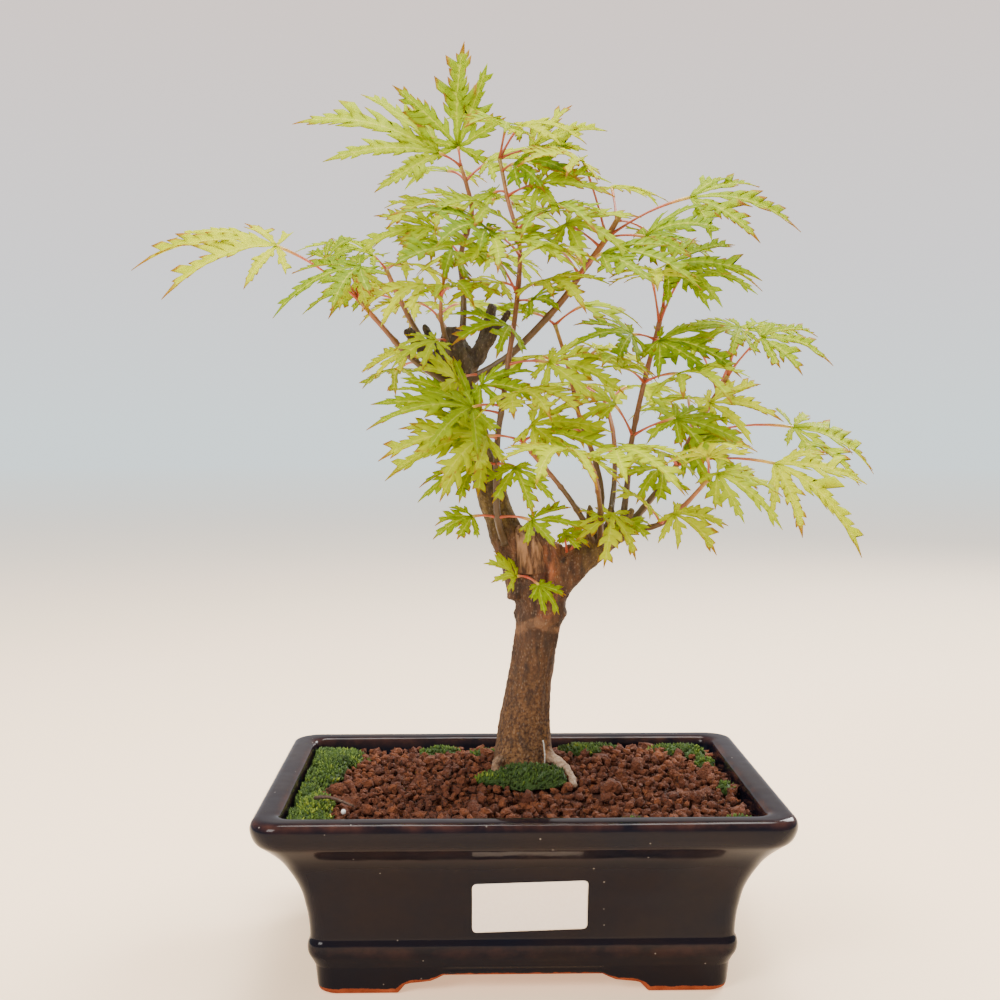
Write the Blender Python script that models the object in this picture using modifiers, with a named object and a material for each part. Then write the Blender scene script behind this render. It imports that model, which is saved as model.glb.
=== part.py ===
"""A young cut-leaf maple bonsai in its glazed rectangular pot.

The pot stands on four corner feet with its drain holes under plastic screens. It
holds the soil, the moss on the soil, and the tree: one woody trunk with its roots,
two limbs and pruning stubs, the thin shoots that grow from it, and pairs of lobed
leaves on the shoots. World frame: +X right, +Y back, +Z up, and the origin on the
ground under the middle of the pot.
"""

import math

import bmesh
import bpy
from mathutils import Vector
from mathutils.bvhtree import BVHTree

MM = 0.001

# Clearances
SEAT_GAP = 0.3 * MM        # between a piece and what carries it
ROOT_GAP = 0.8 * MM        # between the woody roots and the soil round them
MOSS_GAP = 0.45 * MM       # between a moss pad and the soil under it
LABEL_GAP = 0.4 * MM       # between the label and the pot's curved wall

# Pot
POT_LENGTH = 180 * MM
POT_DEPTH = 135 * MM
POT_HEIGHT = 64 * MM
LIP_HEIGHT = 10.4 * MM     # depth of the rounded band round the top
LIP_CORNER = 10 * MM       # plan radius of the lip's corners
BODY_CORNER = 6 * MM       # plan radius of the body's corners
BODY_INSET = 20.2 * MM     # how far the apron stands in from the lip
WALL = 6 * MM
FLOOR_TOP = 12 * MM
CORNER_STEPS = 4

# Gaps under the pot, between the feet
ARCH_RISE = 6 * MM
FOOT_LENGTH = 27 * MM      # along the front and back
FOOT_DEPTH = 22 * MM       # along the ends
DRAIN_RADIUS = 8 * MM
SCREEN_SIZE = 26 * MM
SCREEN_INSET = 11.3 * MM   # from the end of the pot's floor to a screen
SCREEN_THICKNESS = 0.8 * MM
SCREEN_CELLS = 7

# Label on the front wall
LABEL_WIDTH = 38 * MM
LABEL_HEIGHT = 17.4 * MM
LABEL_PLACE = 0.37         # its middle, as a share of the flare's height
LABEL_THICKNESS = 0.4 * MM

# Soil
SOIL_BELOW_RIM = 6 * MM    # at the pot's wall
SOIL_EDGE = POT_HEIGHT - SOIL_BELOW_RIM
SOIL_PLAY = 0.5 * MM       # between the soil and the pot's wall
MOUND_RISE = 9 * MM        # how much higher it is round the trunk
MOUND_REACH = (46 * MM, 40 * MM)
BACK_RISE = 3 * MM         # a second, lower swell at the back right
BACK_MIDDLE = (42 * MM, 26 * MM)
BACK_REACH = (30 * MM, 22 * MM)
SOIL_RINGS = 7

# Tree
TRUNK_FOOT = Vector((2 * MM, 8 * MM, SOIL_EDGE + MOUND_RISE))
DRAWN_FOOT = Vector((2 * MM, 8 * MM, 67 * MM))   # the foot in the tree's tables below
BARK_VOXEL = 0.9 * MM
BARK_KEEP = 0.030          # share of the remeshed bark's faces that are kept
LEAF_THICKNESS = 0.8 * MM
PETIOLE_WIDTH = 1.4 * MM
PETIOLE_STEPS = 3
SHOOT_STEPS = 2

WOOD_COLOUR = (0.20, 0.13, 0.08, 1)
SHOOT_COLOUR = (0.22, 0.13, 0.06, 1)
LEAF_COLOUR = (0.48, 0.62, 0.08, 1)
GLAZE_COLOUR = (0.012, 0.013, 0.025, 1)
SOIL_COLOUR = (0.23, 0.09, 0.05, 1)
MOSS_COLOUR = (0.10, 0.22, 0.03, 1)
SCREEN_COLOUR = (0.03, 0.03, 0.03, 1)
LABEL_COLOUR = (0.85, 0.85, 0.83, 1)

# The woody body, as tapering runs of (x, y, z, radius) in mm
WOOD_RUNS = {
    "trunk": [(2, 8, 34, 7), (2, 8, 52, 10), (2, 8, 63, 12.3), (2, 8, 70, 11), (2.3, 8, 81, 9.9),
              (2.7, 8, 88, 8.9), (3.4, 8, 97, 8.3), (5.6, 7, 110, 7.7), (7.3, 7, 117, 8.4),
              (8.6, 6, 124, 9.4), (8, 6, 131, 10), (8, 6, 136, 10.4), (8, 5, 141, 9)],
    "left_limb": [(4, 6, 130, 8), (-1, 6, 143, 6.6), (-7, 6, 158, 5.8), (-12, 7, 174, 5.4),
                  (-17, 8, 192, 5.0), (-21, 8, 206, 5.6), (-23, 8, 214, 7.0), (-24, 8, 222, 5.2),
                  (-25, 8, 228, 2.6)],
    "right_limb": [(10, 6, 129, 8), (18, 5, 138, 6.2), (27, 3, 146, 5.2), (35, 2, 152, 4.6),
                   (40, 1, 155, 3.4)],
    "old_leader": [(9, 4, 140, 7), (7, 3, 147, 6), (4, 2, 154, 4.2)],
    "split_spike": [(13, 4, 142, 3), (15, 4, 149, 1.8)],
    "limb_spike": [(18, 4, 141, 2.6), (19, 4, 148, 1.2)],
    "collar": [(-2, 1, 128, 3.2), (-3, 1, 132, 2)],
    "head_stub_left": [(-29, 7, 212, 3), (-36, 5, 220, 2.2), (-41, 4, 227, 1.8)],
    "head_stub_back": [(-26, 10, 214, 2.6), (-31, 13, 222, 1.7), (-35, 15, 229, 1.4)],
    "head_stub_right": [(-18, 9, 212, 3), (-12, 10, 224, 2.6), (-9, 11, 237, 2.3)],
    "head_stub_far": [(-16, 8, 214, 2.6), (-9, 6, 225, 1.8), (-3, 5, 234, 1.5)],
    "limb_end_up": [(34, 2, 152, 3), (34, 1, 163, 1.3)],
    "limb_end_out": [(38, 1, 154, 3), (42, 0, 162, 1.6)],
    "limb_end_inner": [(27, 3, 148, 3), (26, 2, 163, 1.3)],
    "root_right": [(6, 5, 70, 4), (12, 1, 69.5, 2.3), (16, -4, 67.5, 1.9), (18, -10, 66, 1.7),
                   (19.5, -17, 62.5, 1.5)],
    "root_left": [(-3, 4, 69, 3.6), (-8, -1, 68, 2.2), (-9, -7, 66.5, 1.8), (-7, -12, 64, 1.5)],
}

# Each shoot: its route in mm from the wood outwards, and its radius at the base and tip
SHOOTS = {
    "shoot_left_low": ([(-27, 4, 208), (-39, 1, 216), (-50, -4, 228), (-57, -8, 236)], 1.3, 0.9),
    "shoot_left_high": ([(-27, 12, 210), (-37, 16, 226), (-44, 18, 239), (-49, 20, 250)], 1.3, 0.9),
    "shoot_left_twig": ([(-25, 4, 218), (-28, -3, 229), (-28, -7, 238)], 0.9, 0.7),
    "shoot_apex": ([(-21, 12, 218), (-20, 17, 238), (-21, 17, 255), (-17, 15, 270),
                    (-19, 13, 281), (-21, 12, 287)], 1.3, 0.8),
    "shoot_centre": ([(-5, 2, 149), (-8, -5, 160), (-8, -8, 185), (-6, -9, 200), (-4, -9, 215),
                      (-1, -8, 236), (0, -6, 256), (-4, -4, 272), (-7, -3, 287)], 1.4, 0.8),
    "shoot_oblique": ([(-18, 4, 208), (-6, -1, 215), (3, -3, 223), (15, -6, 236), (22, -8, 246),
                       (30, -10, 257), (36, -11, 267)], 1.6, 1.1),
    "shoot_right_inner": ([(30, 6, 152), (31, 9, 168), (28, 11, 181), (23, 12, 195),
                           (19, 13, 213), (14, 13, 229)], 1.3, 0.8),
    "shoot_right_low": ([(28, 0, 150), (19, -7, 164), (12, -10, 173), (5, -12, 181),
                         (1, -14, 186)], 1.1, 0.8),
    "shoot_right_tall": ([(38, 3, 153), (40, 3, 170), (41, 1, 184), (45, -1, 205),
                          (50, -3, 226), (52, -3, 234)], 1.3, 0.9),
    "shoot_right_long": ([(40, 3, 154), (48, 6, 163), (59, 8, 177), (66, 10, 190),
                          (75, 10, 205), (78, 10, 210)], 1.4, 0.9),
    "shoot_right_outer": ([(39, -1, 153), (50, -9, 156), (57, -15, 162), (66, -21, 173)], 1.2, 0.8),
    "shoot_back_left": ([(-23, 13, 214), (-26, 26, 226), (-30, 38, 234)], 1.2, 0.9),
    "shoot_back_right": ([(33, 6, 151), (37, 20, 170), (38, 32, 187), (36, 41, 200)], 1.2, 0.9),
    "shoot_front": ([(30, -2, 149), (28, -18, 163), (25, -32, 174), (22, -42, 180)], 1.1, 0.8),
}

# Each pair of leaves: the shoot that carries it, how far along, the side it sits on, and
# for each leaf the foot of its blade, its tip (both in mm) and how far its face leans to
# the front, in degrees
LEAF_PAIRS = {
    "leaves_left_long": ("shoot_left_low", 1.0, "tip",
                         ((-86, -10, 255), (-137, -13, 249), 30), ((-56, -18, 247), (-85, -28, 232), 30)),
    "leaves_left_far": ("shoot_left_high", 1.0, "tip",
                        ((-54, 18, 255), (-83, 20, 260), 20), ((-44, 28, 253), (-26, 50, 248), 10)),
    "leaves_left_middle": ("shoot_left_high", 0.66, "back",
                           ((-57, 19, 241), (-80, 14, 237), 25), ((-46, 36, 246), (-62, 62, 240), 10)),
    "leaves_left_twig": ("shoot_left_twig", 1.0, "tip",
                         ((-34, -15, 241), (-51, -30, 229), 30), ((-24, -18, 240), (-18, -46, 234), 30)),
    "leaves_left_low": ("shoot_left_low", 0.22, "back",
                        ((-40, 8, 219), (-58, 12, 211), 35), ((-44, 18, 213), (-50, 38, 206), 10)),
    "leaves_apex_top": ("shoot_apex", 1.0, "tip",
                        ((-22, 11, 294), (-25, 8, 331), 80), ((-29, 8, 291), (-83, 2, 303), 45)),
    "leaves_apex_side": ("shoot_apex", 0.90, "back",
                         ((-11, 10, 288), (12, 8, 288), 35), ((-26, 28, 288), (-40, 60, 290), 5)),
    "leaves_apex_middle": ("shoot_apex", 0.70, "front",
                           ((-27, 4, 272), (-47, -16, 263), 30), ((-8, 15, 276), (12, 25, 274), 10)),
    "leaves_apex_low": ("shoot_apex", 0.50, "back",
                        ((-30, 26, 264), (-58, 42, 264), 10), ((-8, 30, 256), (6, 56, 252), 5)),
    "leaves_centre_top": ("shoot_centre", 1.0, "tip",
                          ((0, -6, 298), (24, -12, 294), 30), ((-5, -15, 296), (-20, -38, 292), 30)),
    "leaves_centre_upper": ("shoot_centre", 0.80, "front",
                            ((-10, -18, 266), (-34, -44, 266), 35), ((8, -18, 266), (22, -50, 261), 30)),
    "leaves_centre_middle": ("shoot_centre", 0.64, "front",
                             ((-9, -20, 250), (-34, -38, 252), 35), ((8, -20, 242), (22, -46, 234), 35)),
    "leaves_centre_low": ("shoot_centre", 0.34, "front",
                          ((-17, -18, 198), (-52, -32, 194), 40), ((-2, -24, 203), (12, -54, 196), 35)),
    "leaves_centre_foot": ("shoot_centre", 0.19, "front",
                           ((-16, -14, 177), (-34, -26, 166), 30), ((-2, -17, 177), (3, -32, 161), 30)),
    "leaves_fork_pair": ("shoot_centre", 0.06, "front",
                         ((-17, -8, 159), (-31, -14, 153), 45), ((4, -14, 158), (22, -24, 156), 45)),
    "leaves_oblique_high": ("shoot_oblique", 0.86, "front",
                            ((22, -15, 284), (-2, -32, 282), 35), ((60, -13, 272), (98, -18, 264), 40)),
    "leaves_oblique_back": ("shoot_oblique", 0.97, "back",
                            ((34, 4, 278), (54, 18, 276), 15), ((48, 6, 262), (78, 22, 254), 20)),
    "leaves_oblique_low": ("shoot_oblique", 0.66, "front",
                           ((28, -24, 251), (60, -42, 243), 35), ((12, -28, 252), (2, -58, 247), 30)),
    "leaves_inner_top": ("shoot_right_inner", 1.0, "tip",
                         ((6, 20, 234), (-14, 40, 236), 10), ((24, 14, 236), (48, 24, 230), 25)),
    "leaves_inner_middle": ("shoot_right_inner", 0.74, "back",
                            ((30, 18, 220), (56, 30, 210), 25), ((10, 24, 218), (-8, 46, 210), 10)),
    "leaves_inner_low": ("shoot_right_inner", 0.44, "back",
                         ((14, 10, 196), (2, -2, 199), 35), ((22, 26, 190), (12, 50, 184), 10)),
    "leaves_low_spray": ("shoot_right_low", 1.0, "tip",
                         ((-12, -22, 188), (-50, -36, 184), 40), ((8, -21, 189), (33, -32, 181), 40)),
    "leaves_tall_top": ("shoot_right_tall", 0.94, "front",
                        ((46, -16, 244), (44, -48, 240), 30), ((59, -8, 247), (82, -24, 238), 35)),
    "leaves_tall_middle": ("shoot_right_tall", 0.62, "front",
                           ((56, -14, 210), (74, -40, 204), 30), ((36, -16, 212), (24, -44, 214), 30)),
    "leaves_tall_low": ("shoot_right_tall", 0.38, "front",
                        ((56, -9, 194), (80, -18, 183), 40), ((34, -10, 199), (16, -8, 203), 40)),
    "leaves_long_top": ("shoot_right_long", 1.0, "tip",
                        ((81, 2, 227), (60, -10, 221), 40), ((90, 8, 224), (116, 4, 219), 40)),
    "leaves_long_upper": ("shoot_right_long", 0.90, "back",
                          ((88, 24, 228), (116, 40, 228), 15), ((68, 24, 224), (54, 50, 220), 10)),
    "leaves_long_middle": ("shoot_right_long", 0.62, "back",
                           ((104, 16, 191), (138, 26, 176), 35), ((66, 26, 202), (60, 54, 198), 10)),
    "leaves_long_low": ("shoot_right_long", 0.42, "front",
                        ((92, -8, 178), (124, -18, 152), 40), ((50, -10, 182), (34, -36, 178), 30)),
    "leaves_outer_tip": ("shoot_right_outer", 1.0, "tip",
                         ((68, -26, 175), (89, -36, 159), 40), ((64, -30, 181), (66, -58, 186), 30)),
    "leaves_outer_low": ("shoot_right_outer", 0.35, "front",
                         ((53, -26, 161), (68, -37, 151), 45), ((44, -19, 164), (33, -34, 168), 40)),
    "leaves_back_left": ("shoot_back_left", 1.0, "tip",
                         ((-38, 46, 240), (-58, 74, 234), 0), ((-22, 50, 240), (-6, 84, 234), 0)),
    "leaves_back_right": ("shoot_back_right", 1.0, "tip",
                          ((45, 50, 207), (64, 80, 200), 0), ((27, 52, 208), (12, 84, 200), 0)),
    "leaves_front": ("shoot_front", 1.0, "tip",
                     ((14, -52, 184), (-2, -84, 176), 25), ((30, -52, 184), (44, -83, 175), 25)),
}

# A leaf's lobes: direction from the midrib in degrees, and length as a share of the leaf
LOBES = [(-80, 0.48), (-38, 0.80), (0, 1.0), (38, 0.80), (80, 0.48)]
LOBE_HALF_WIDTH = 0.075    # share of the leaf's length
LOBE_WIDEST = 0.5          # where along a lobe it is widest
SINUS_DEPTH = 0.17         # where the cut between two lobes ends, from the blade's foot
BLADE_ARCH = 0.10          # how high the blade bows between its foot and its tip
SIDE_DROOP = 0.25          # how fast its sides fall away

# Moss pads: middle and half sizes as shares of the soil's half sizes, and height in mm
MOSS_PADS = {
    "moss_left_back": ((-0.85, 0.42), (0.115, 0.42), 4.5),
    "moss_left_front": ((-0.86, -0.55), (0.115, 0.26), 4),
    "moss_back_left": ((-0.38, 0.83), (0.115, 0.09), 3),
    "moss_back_middle": ((0.38, 0.78), (0.19, 0.125), 3.5),
    "moss_back_right": ((0.86, 0.78), (0.115, 0.125), 3.5),
    "moss_trunk_foot": ((0.04, -0.23), (0.19, 0.14), 4),
}


def tree_point(mm):
    """A place from the tree's tables, moved with the trunk's foot."""
    return Vector(mm[:3]) * MM + TRUNK_FOOT - DRAWN_FOOT


# Scene and collections

for old in list(bpy.data.objects):
    bpy.data.objects.remove(old, do_unlink=True)

bonsai = bpy.data.collections.new("maple_bonsai")
cutters = bpy.data.collections.new("cutters")
for group in (bonsai, cutters):
    bpy.context.scene.collection.children.link(group)


def material(name, colour, roughness, metallic=0.0):
    made = bpy.data.materials.get(name)
    if made is None:
        made = bpy.data.materials.new(name)
        made.use_nodes = True
        shader = made.node_tree.nodes["Principled BSDF"]
        shader.inputs["Base Color"].default_value = colour
        shader.inputs["Roughness"].default_value = roughness
        shader.inputs["Metallic"].default_value = metallic
    return made


def add_object(name, data, surface, group=bonsai):
    obj = bpy.data.objects.new(name, data)
    data.materials.append(surface)
    group.objects.link(obj)
    return obj


def mesh_from(bm, name):
    mesh = bpy.data.meshes.new(name)
    bm.to_mesh(mesh)
    bm.free()
    return mesh


def evaluated_mesh(obj):
    """The object's mesh with its modifiers applied; the object itself is removed."""
    depsgraph = bpy.context.evaluated_depsgraph_get()
    mesh = bpy.data.meshes.new_from_object(obj.evaluated_get(depsgraph))
    mesh.transform(obj.matrix_world)
    bpy.data.objects.remove(obj, do_unlink=True)
    return mesh


def as_cutter(obj):
    obj.hide_render = True
    obj.display_type = "WIRE"
    return obj


def cut(obj, cutter, name):
    boolean = obj.modifiers.new(name, "BOOLEAN")
    boolean.operation = "DIFFERENCE"
    boolean.object = cutter


# Lofts round a rounded rectangle


def rounded_rectangle(half_x, half_y, corner, z):
    points = []
    for quarter, (sx, sy) in enumerate([(1, 1), (-1, 1), (-1, -1), (1, -1)]):
        centre = Vector((sx * (half_x - corner), sy * (half_y - corner), z))
        for step in range(CORNER_STEPS + 1):
            angle = math.radians(90 * (quarter + step / CORNER_STEPS))
            points.append(centre + corner * Vector((math.cos(angle), math.sin(angle), 0)))
    return points


def loft(bm, rings):
    """Rings of vertices, joined in order by quads; the first and the last are filled."""
    loops = [[bm.verts.new(p) for p in ring] for ring in rings]
    for lower, upper in zip(loops, loops[1:]):
        for a, b, c, d in zip(lower, lower[1:] + lower[:1], upper[1:] + upper[:1], upper):
            bm.faces.new((a, b, c, d))
    for loop in (loops[0], loops[-1]):
        bm.faces.new(loop)
    bmesh.ops.recalc_face_normals(bm, faces=bm.faces)


# The pot's section, as (inset from the lip, height, plan radius of the corners)

LIP_FOOT = POT_HEIGHT - LIP_HEIGHT
BEAD_TOP = 19 * MM
FLARE = LIP_FOOT - BEAD_TOP            # height of the body's concave flare
NECK_INSET = BODY_INSET - 2.5 * MM     # how far the body stands in just over the bead

POT_OUTSIDE = [
    (BODY_INSET + 1.5 * MM, 0, BODY_CORNER - 1 * MM),
    (BODY_INSET, 2.4 * MM, BODY_CORNER),
    (BODY_INSET - 0.6 * MM, 8 * MM, BODY_CORNER),
    (BODY_INSET - 1.3 * MM, 10.4 * MM, BODY_CORNER),
    (BODY_INSET - 2.7 * MM, 13.6 * MM, BODY_CORNER),
    (BODY_INSET - 3.1 * MM, 16.4 * MM, BODY_CORNER),
    (NECK_INSET, BEAD_TOP, BODY_CORNER),
]
# share of the flare's height, and how much the wall has come out there
FLARE_STEPS = [(0.16, 0.1), (0.34, 1.0), (0.53, 2.7), (0.67, 4.9), (0.80, 7.3), (0.91, 10.6)]
for share, out in FLARE_STEPS:
    POT_OUTSIDE.append((NECK_INSET - out * MM, BEAD_TOP + share * FLARE, BODY_CORNER))
POT_OUTSIDE += [
    (3.6 * MM, LIP_FOOT, LIP_CORNER - 1 * MM),
    (1 * MM, LIP_FOOT + 3 * MM, LIP_CORNER),
    (0, POT_HEIGHT - 3.4 * MM, LIP_CORNER),
    (0.6 * MM, POT_HEIGHT - 1.3 * MM, LIP_CORNER),
    (2.4 * MM, POT_HEIGHT, LIP_CORNER - 1 * MM),
]
LIP_WIDTH = 9.5 * MM
POT_INSIDE = [
    (LIP_WIDTH - 1.2 * MM, POT_HEIGHT, BODY_CORNER),
    (LIP_WIDTH, POT_HEIGHT - 1 * MM, BODY_CORNER),
    (LIP_WIDTH + 1 * MM, POT_HEIGHT - 6 * MM, BODY_CORNER - 1 * MM),
    (LIP_WIDTH + 3.2 * MM, LIP_FOOT, BODY_CORNER - 1 * MM),
]
for share, out in reversed(FLARE_STEPS[0:5:2]):
    POT_INSIDE.append((NECK_INSET - out * MM + WALL, BEAD_TOP + share * FLARE, BODY_CORNER - 3 * MM))
FLOOR_INSET = BODY_INSET + WALL + 1 * MM
POT_INSIDE += [
    (FLOOR_INSET - 1.5 * MM, FLOOR_TOP + 4 * MM, BODY_CORNER - 3 * MM),
    (FLOOR_INSET, FLOOR_TOP, BODY_CORNER - 4 * MM),
]
DRAIN_PLACE = POT_LENGTH / 2 - FLOOR_INSET - SCREEN_INSET - SCREEN_SIZE / 2


def pot_ring(inset, z, corner, extra=0.0):
    """The section's ring at one height, moved inwards by extra."""
    gone = inset + extra
    return rounded_rectangle(POT_LENGTH / 2 - gone, POT_DEPTH / 2 - gone, corner, z)


def row_at(section, height):
    """The row of a section at a height, between its own rows."""
    rows = sorted(section, key=lambda row: row[1])
    for low, high in zip(rows, rows[1:]):
        if low[1] <= height <= high[1] and high[1] > low[1]:
            share = (height - low[1]) / (high[1] - low[1])
            return tuple(a + share * (b - a) for a, b in zip(low, high))
    return rows[-1]


def arch_outline(half_span, rise):
    """Half of a bracket-shaped gap, from its end at the foot to its middle."""
    return [
        (half_span, -rise), (half_span, 0.1 * rise), (half_span - 1.5 * MM, 0.42 * rise),
        (half_span - 8 * MM, 0.6 * rise), (half_span - 12 * MM, 0.66 * rise),
        (half_span - 15 * MM, rise),
    ]


def prism(name, outline, half_length, turned):
    """A flat outline in X and Z, made half_length thick each way along Y (or X, if turned)."""
    curve = bpy.data.curves.new(name, "CURVE")
    curve.dimensions = "2D"
    curve.fill_mode = "BOTH"
    curve.extrude = half_length
    spline = curve.splines.new("POLY")
    spline.points.add(len(outline) - 1)
    for spot, (a, b) in zip(spline.points, outline):
        spot.co = (a, b, 0, 1)
    spline.use_cyclic_u = True
    obj = bpy.data.objects.new(name, curve)
    cutters.objects.link(obj)
    obj.rotation_euler = (math.radians(90), 0, math.radians(90) if turned else 0)
    bpy.context.view_layer.update()
    bm = bmesh.new()
    bm.from_mesh(evaluated_mesh(obj))
    bmesh.ops.remove_doubles(bm, verts=bm.verts, dist=0.001 * MM)
    bmesh.ops.recalc_face_normals(bm, faces=bm.faces)
    return as_cutter(add_object(name, mesh_from(bm, name), material("cutter", (1, 0, 0, 1), 1), cutters))


def make_pot():
    bm = bmesh.new()
    loft(bm, [pot_ring(*row) for row in POT_OUTSIDE + POT_INSIDE])
    pot = add_object("pot", mesh_from(bm, "pot"), material("glaze", GLAZE_COLOUR, 0.12))
    for name, side in (("drain_hole_left", -1), ("drain_hole_right", 1)):
        bm = bmesh.new()
        bmesh.ops.create_cone(bm, cap_ends=True, segments=20, radius1=DRAIN_RADIUS,
                              radius2=DRAIN_RADIUS, depth=3 * FLOOR_TOP)
        bmesh.ops.translate(bm, verts=bm.verts, vec=(side * DRAIN_PLACE, 0, FLOOR_TOP))
        hole = add_object(name, mesh_from(bm, name), material("cutter", (1, 0, 0, 1), 1), cutters)
        cut(pot, as_cutter(hole), name)
    base_x = POT_LENGTH / 2 - BODY_INSET
    base_y = POT_DEPTH / 2 - BODY_INSET
    for name, half_span, half_length, turned in (
        ("arch_front_to_back", base_x - FOOT_LENGTH, POT_DEPTH, False),
        ("arch_end_to_end", base_y - FOOT_DEPTH, POT_LENGTH, True),
    ):
        side = arch_outline(half_span, ARCH_RISE)
        outline = side + [(-a, b) for a, b in reversed(side)]
        cut(pot, prism(name, outline, half_length, turned), name)


def make_screen(name, side):
    """A square of plastic net on the pot's floor, over a drain hole."""
    bm = bmesh.new()
    bmesh.ops.create_grid(bm, x_segments=SCREEN_CELLS, y_segments=SCREEN_CELLS, size=SCREEN_SIZE / 2)
    cell = SCREEN_SIZE / SCREEN_CELLS
    holes = []
    for face in bm.faces:
        column = round((face.calc_center_median().x + SCREEN_SIZE / 2) / cell - 0.5)
        row = round((face.calc_center_median().y + SCREEN_SIZE / 2) / cell - 0.5)
        if column % 2 == 1 and row % 2 == 1:
            holes.append(face)
    bmesh.ops.delete(bm, geom=holes, context="FACES_ONLY")
    screen = add_object(name, mesh_from(bm, name), material("screen", SCREEN_COLOUR, 0.5))
    screen.location = (side * DRAIN_PLACE, 0, FLOOR_TOP + SEAT_GAP + SCREEN_THICKNESS / 2)
    thicken(screen, SCREEN_THICKNESS)


def thicken(obj, thickness, offset=0.0):
    solid = obj.modifiers.new("thickness", "SOLIDIFY")
    solid.thickness = thickness
    solid.offset = offset


def make_label():
    """A thin blank label that follows the front wall's curve."""
    bm = bmesh.new()
    bmesh.ops.create_grid(bm, x_segments=2, y_segments=5, size=0.5)
    for vert in bm.verts:
        height = BEAD_TOP + LABEL_PLACE * FLARE + vert.co.y * LABEL_HEIGHT
        wall = -POT_DEPTH / 2 + row_at(POT_OUTSIDE, height)[0]
        vert.co = (vert.co.x * LABEL_WIDTH, wall - LABEL_GAP - LABEL_THICKNESS / 2, height)
    label = add_object("pot_label", mesh_from(bm, "pot_label"), material("label", LABEL_COLOUR, 0.4))
    thicken(label, LABEL_THICKNESS)


# Soil and moss


def soil_height(x, y):
    near = ((x - TRUNK_FOOT.x) / MOUND_REACH[0]) ** 2 + ((y - TRUNK_FOOT.y) / MOUND_REACH[1]) ** 2
    back = ((x - BACK_MIDDLE[0]) / BACK_REACH[0]) ** 2 + ((y - BACK_MIDDLE[1]) / BACK_REACH[1]) ** 2
    return SOIL_EDGE + MOUND_RISE * math.exp(-near) + BACK_RISE * math.exp(-back)


def make_soil(root_cutter):
    bottom = FLOOR_TOP + SCREEN_THICKNESS + 2 * SEAT_GAP
    heights = [bottom] + [z for _, z, _ in reversed(POT_INSIDE) if bottom + 2 * MM < z < SOIL_EDGE - 3 * MM]
    rings = [pot_ring(*row_at(POT_INSIDE, z), SOIL_PLAY) for z in heights]
    rim = pot_ring(*row_at(POT_INSIDE, SOIL_EDGE), SOIL_PLAY)
    rings.append([Vector((p.x, p.y, soil_height(p.x, p.y))) for p in rim])
    for step in range(1, SOIL_RINGS):
        share = 1 - step / SOIL_RINGS
        ring = [Vector((p.x * share, p.y * share, 0)) for p in rim]
        rings.append([Vector((p.x, p.y, soil_height(p.x, p.y))) for p in ring])
    bm = bmesh.new()
    loft(bm, rings)
    surface = BVHTree.FromBMesh(bm)
    soil = add_object("soil", mesh_from(bm, "soil"), material("soil", SOIL_COLOUR, 0.95))
    cut(soil, root_cutter, "roots")
    return surface


def make_moss(name, middle, half_size, height, soil_surface, root_cutter):
    edge_inset = row_at(POT_INSIDE, SOIL_EDGE)[0] + SOIL_PLAY
    soil_x = POT_LENGTH / 2 - edge_inset
    soil_y = POT_DEPTH / 2 - edge_inset
    bm = bmesh.new()
    bmesh.ops.create_uvsphere(bm, u_segments=10, v_segments=6, radius=1)
    for vert in bm.verts:
        x = (middle[0] + half_size[0] * vert.co.x) * soil_x
        y = (middle[1] + half_size[1] * vert.co.y) * soil_y
        rise = height * max(vert.co.z, 0) * MM
        sink = 0.15 * MM * min(vert.co.z, 0)
        ground, _, _, _ = soil_surface.ray_cast(Vector((x, y, POT_HEIGHT * 2)), Vector((0, 0, -1)))
        vert.co = (x, y, ground.z + MOSS_GAP + rise + sink)
    pad = add_object(name, mesh_from(bm, name), material("moss", MOSS_COLOUR, 0.95))
    if "trunk" in name:
        cut(pad, root_cutter, "roots")


# The woody body


def wood_mesh(extra, keep):
    """All the woody runs as one closed skin, each run thicker by extra."""
    whole = bmesh.new()
    for name, run in WOOD_RUNS.items():
        path = [tree_point(p) for p in run]
        path[0] += extra * (path[0] - path[1]).normalized()
        path[-1] += extra * (path[-1] - path[-2]).normalized()
        tube = add_tube(name, path, [p[3] * MM + extra for p in run], 4, cutters)
        whole.from_mesh(evaluated_mesh(tube))
    bmesh.ops.remove_doubles(whole, verts=whole.verts, dist=0.001 * MM)
    bmesh.ops.recalc_face_normals(whole, faces=whole.faces)
    skin = add_object("wood_skin", mesh_from(whole, "wood_skin"), material("bark", WOOD_COLOUR, 0.85))
    remesh = skin.modifiers.new("one_skin", "REMESH")
    remesh.mode = "VOXEL"
    remesh.voxel_size = BARK_VOXEL
    smooth = skin.modifiers.new("even", "SMOOTH")
    smooth.factor = 0.5
    smooth.iterations = 2
    lighter = skin.modifiers.new("fewer_faces", "DECIMATE")
    lighter.ratio = keep
    bpy.context.view_layer.update()
    return evaluated_mesh(skin)


def add_tube(name, path, radii, sides, group):
    """A closed tapering tube along a path; sides is the bevel resolution."""
    curve = bpy.data.curves.new(name, "CURVE")
    curve.dimensions = "3D"
    curve.bevel_depth = 1.0
    curve.bevel_resolution = sides
    curve.use_fill_caps = True
    spline = curve.splines.new("POLY")
    spline.points.add(len(path) - 1)
    for spot, place, radius in zip(spline.points, path, radii):
        spot.co = (*place, 1)
        spot.radius = radius
    tube = add_object(name, curve, material("shoot_bark", SHOOT_COLOUR, 0.6), group)
    bpy.context.view_layer.update()
    return tube


# Shoots


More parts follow.
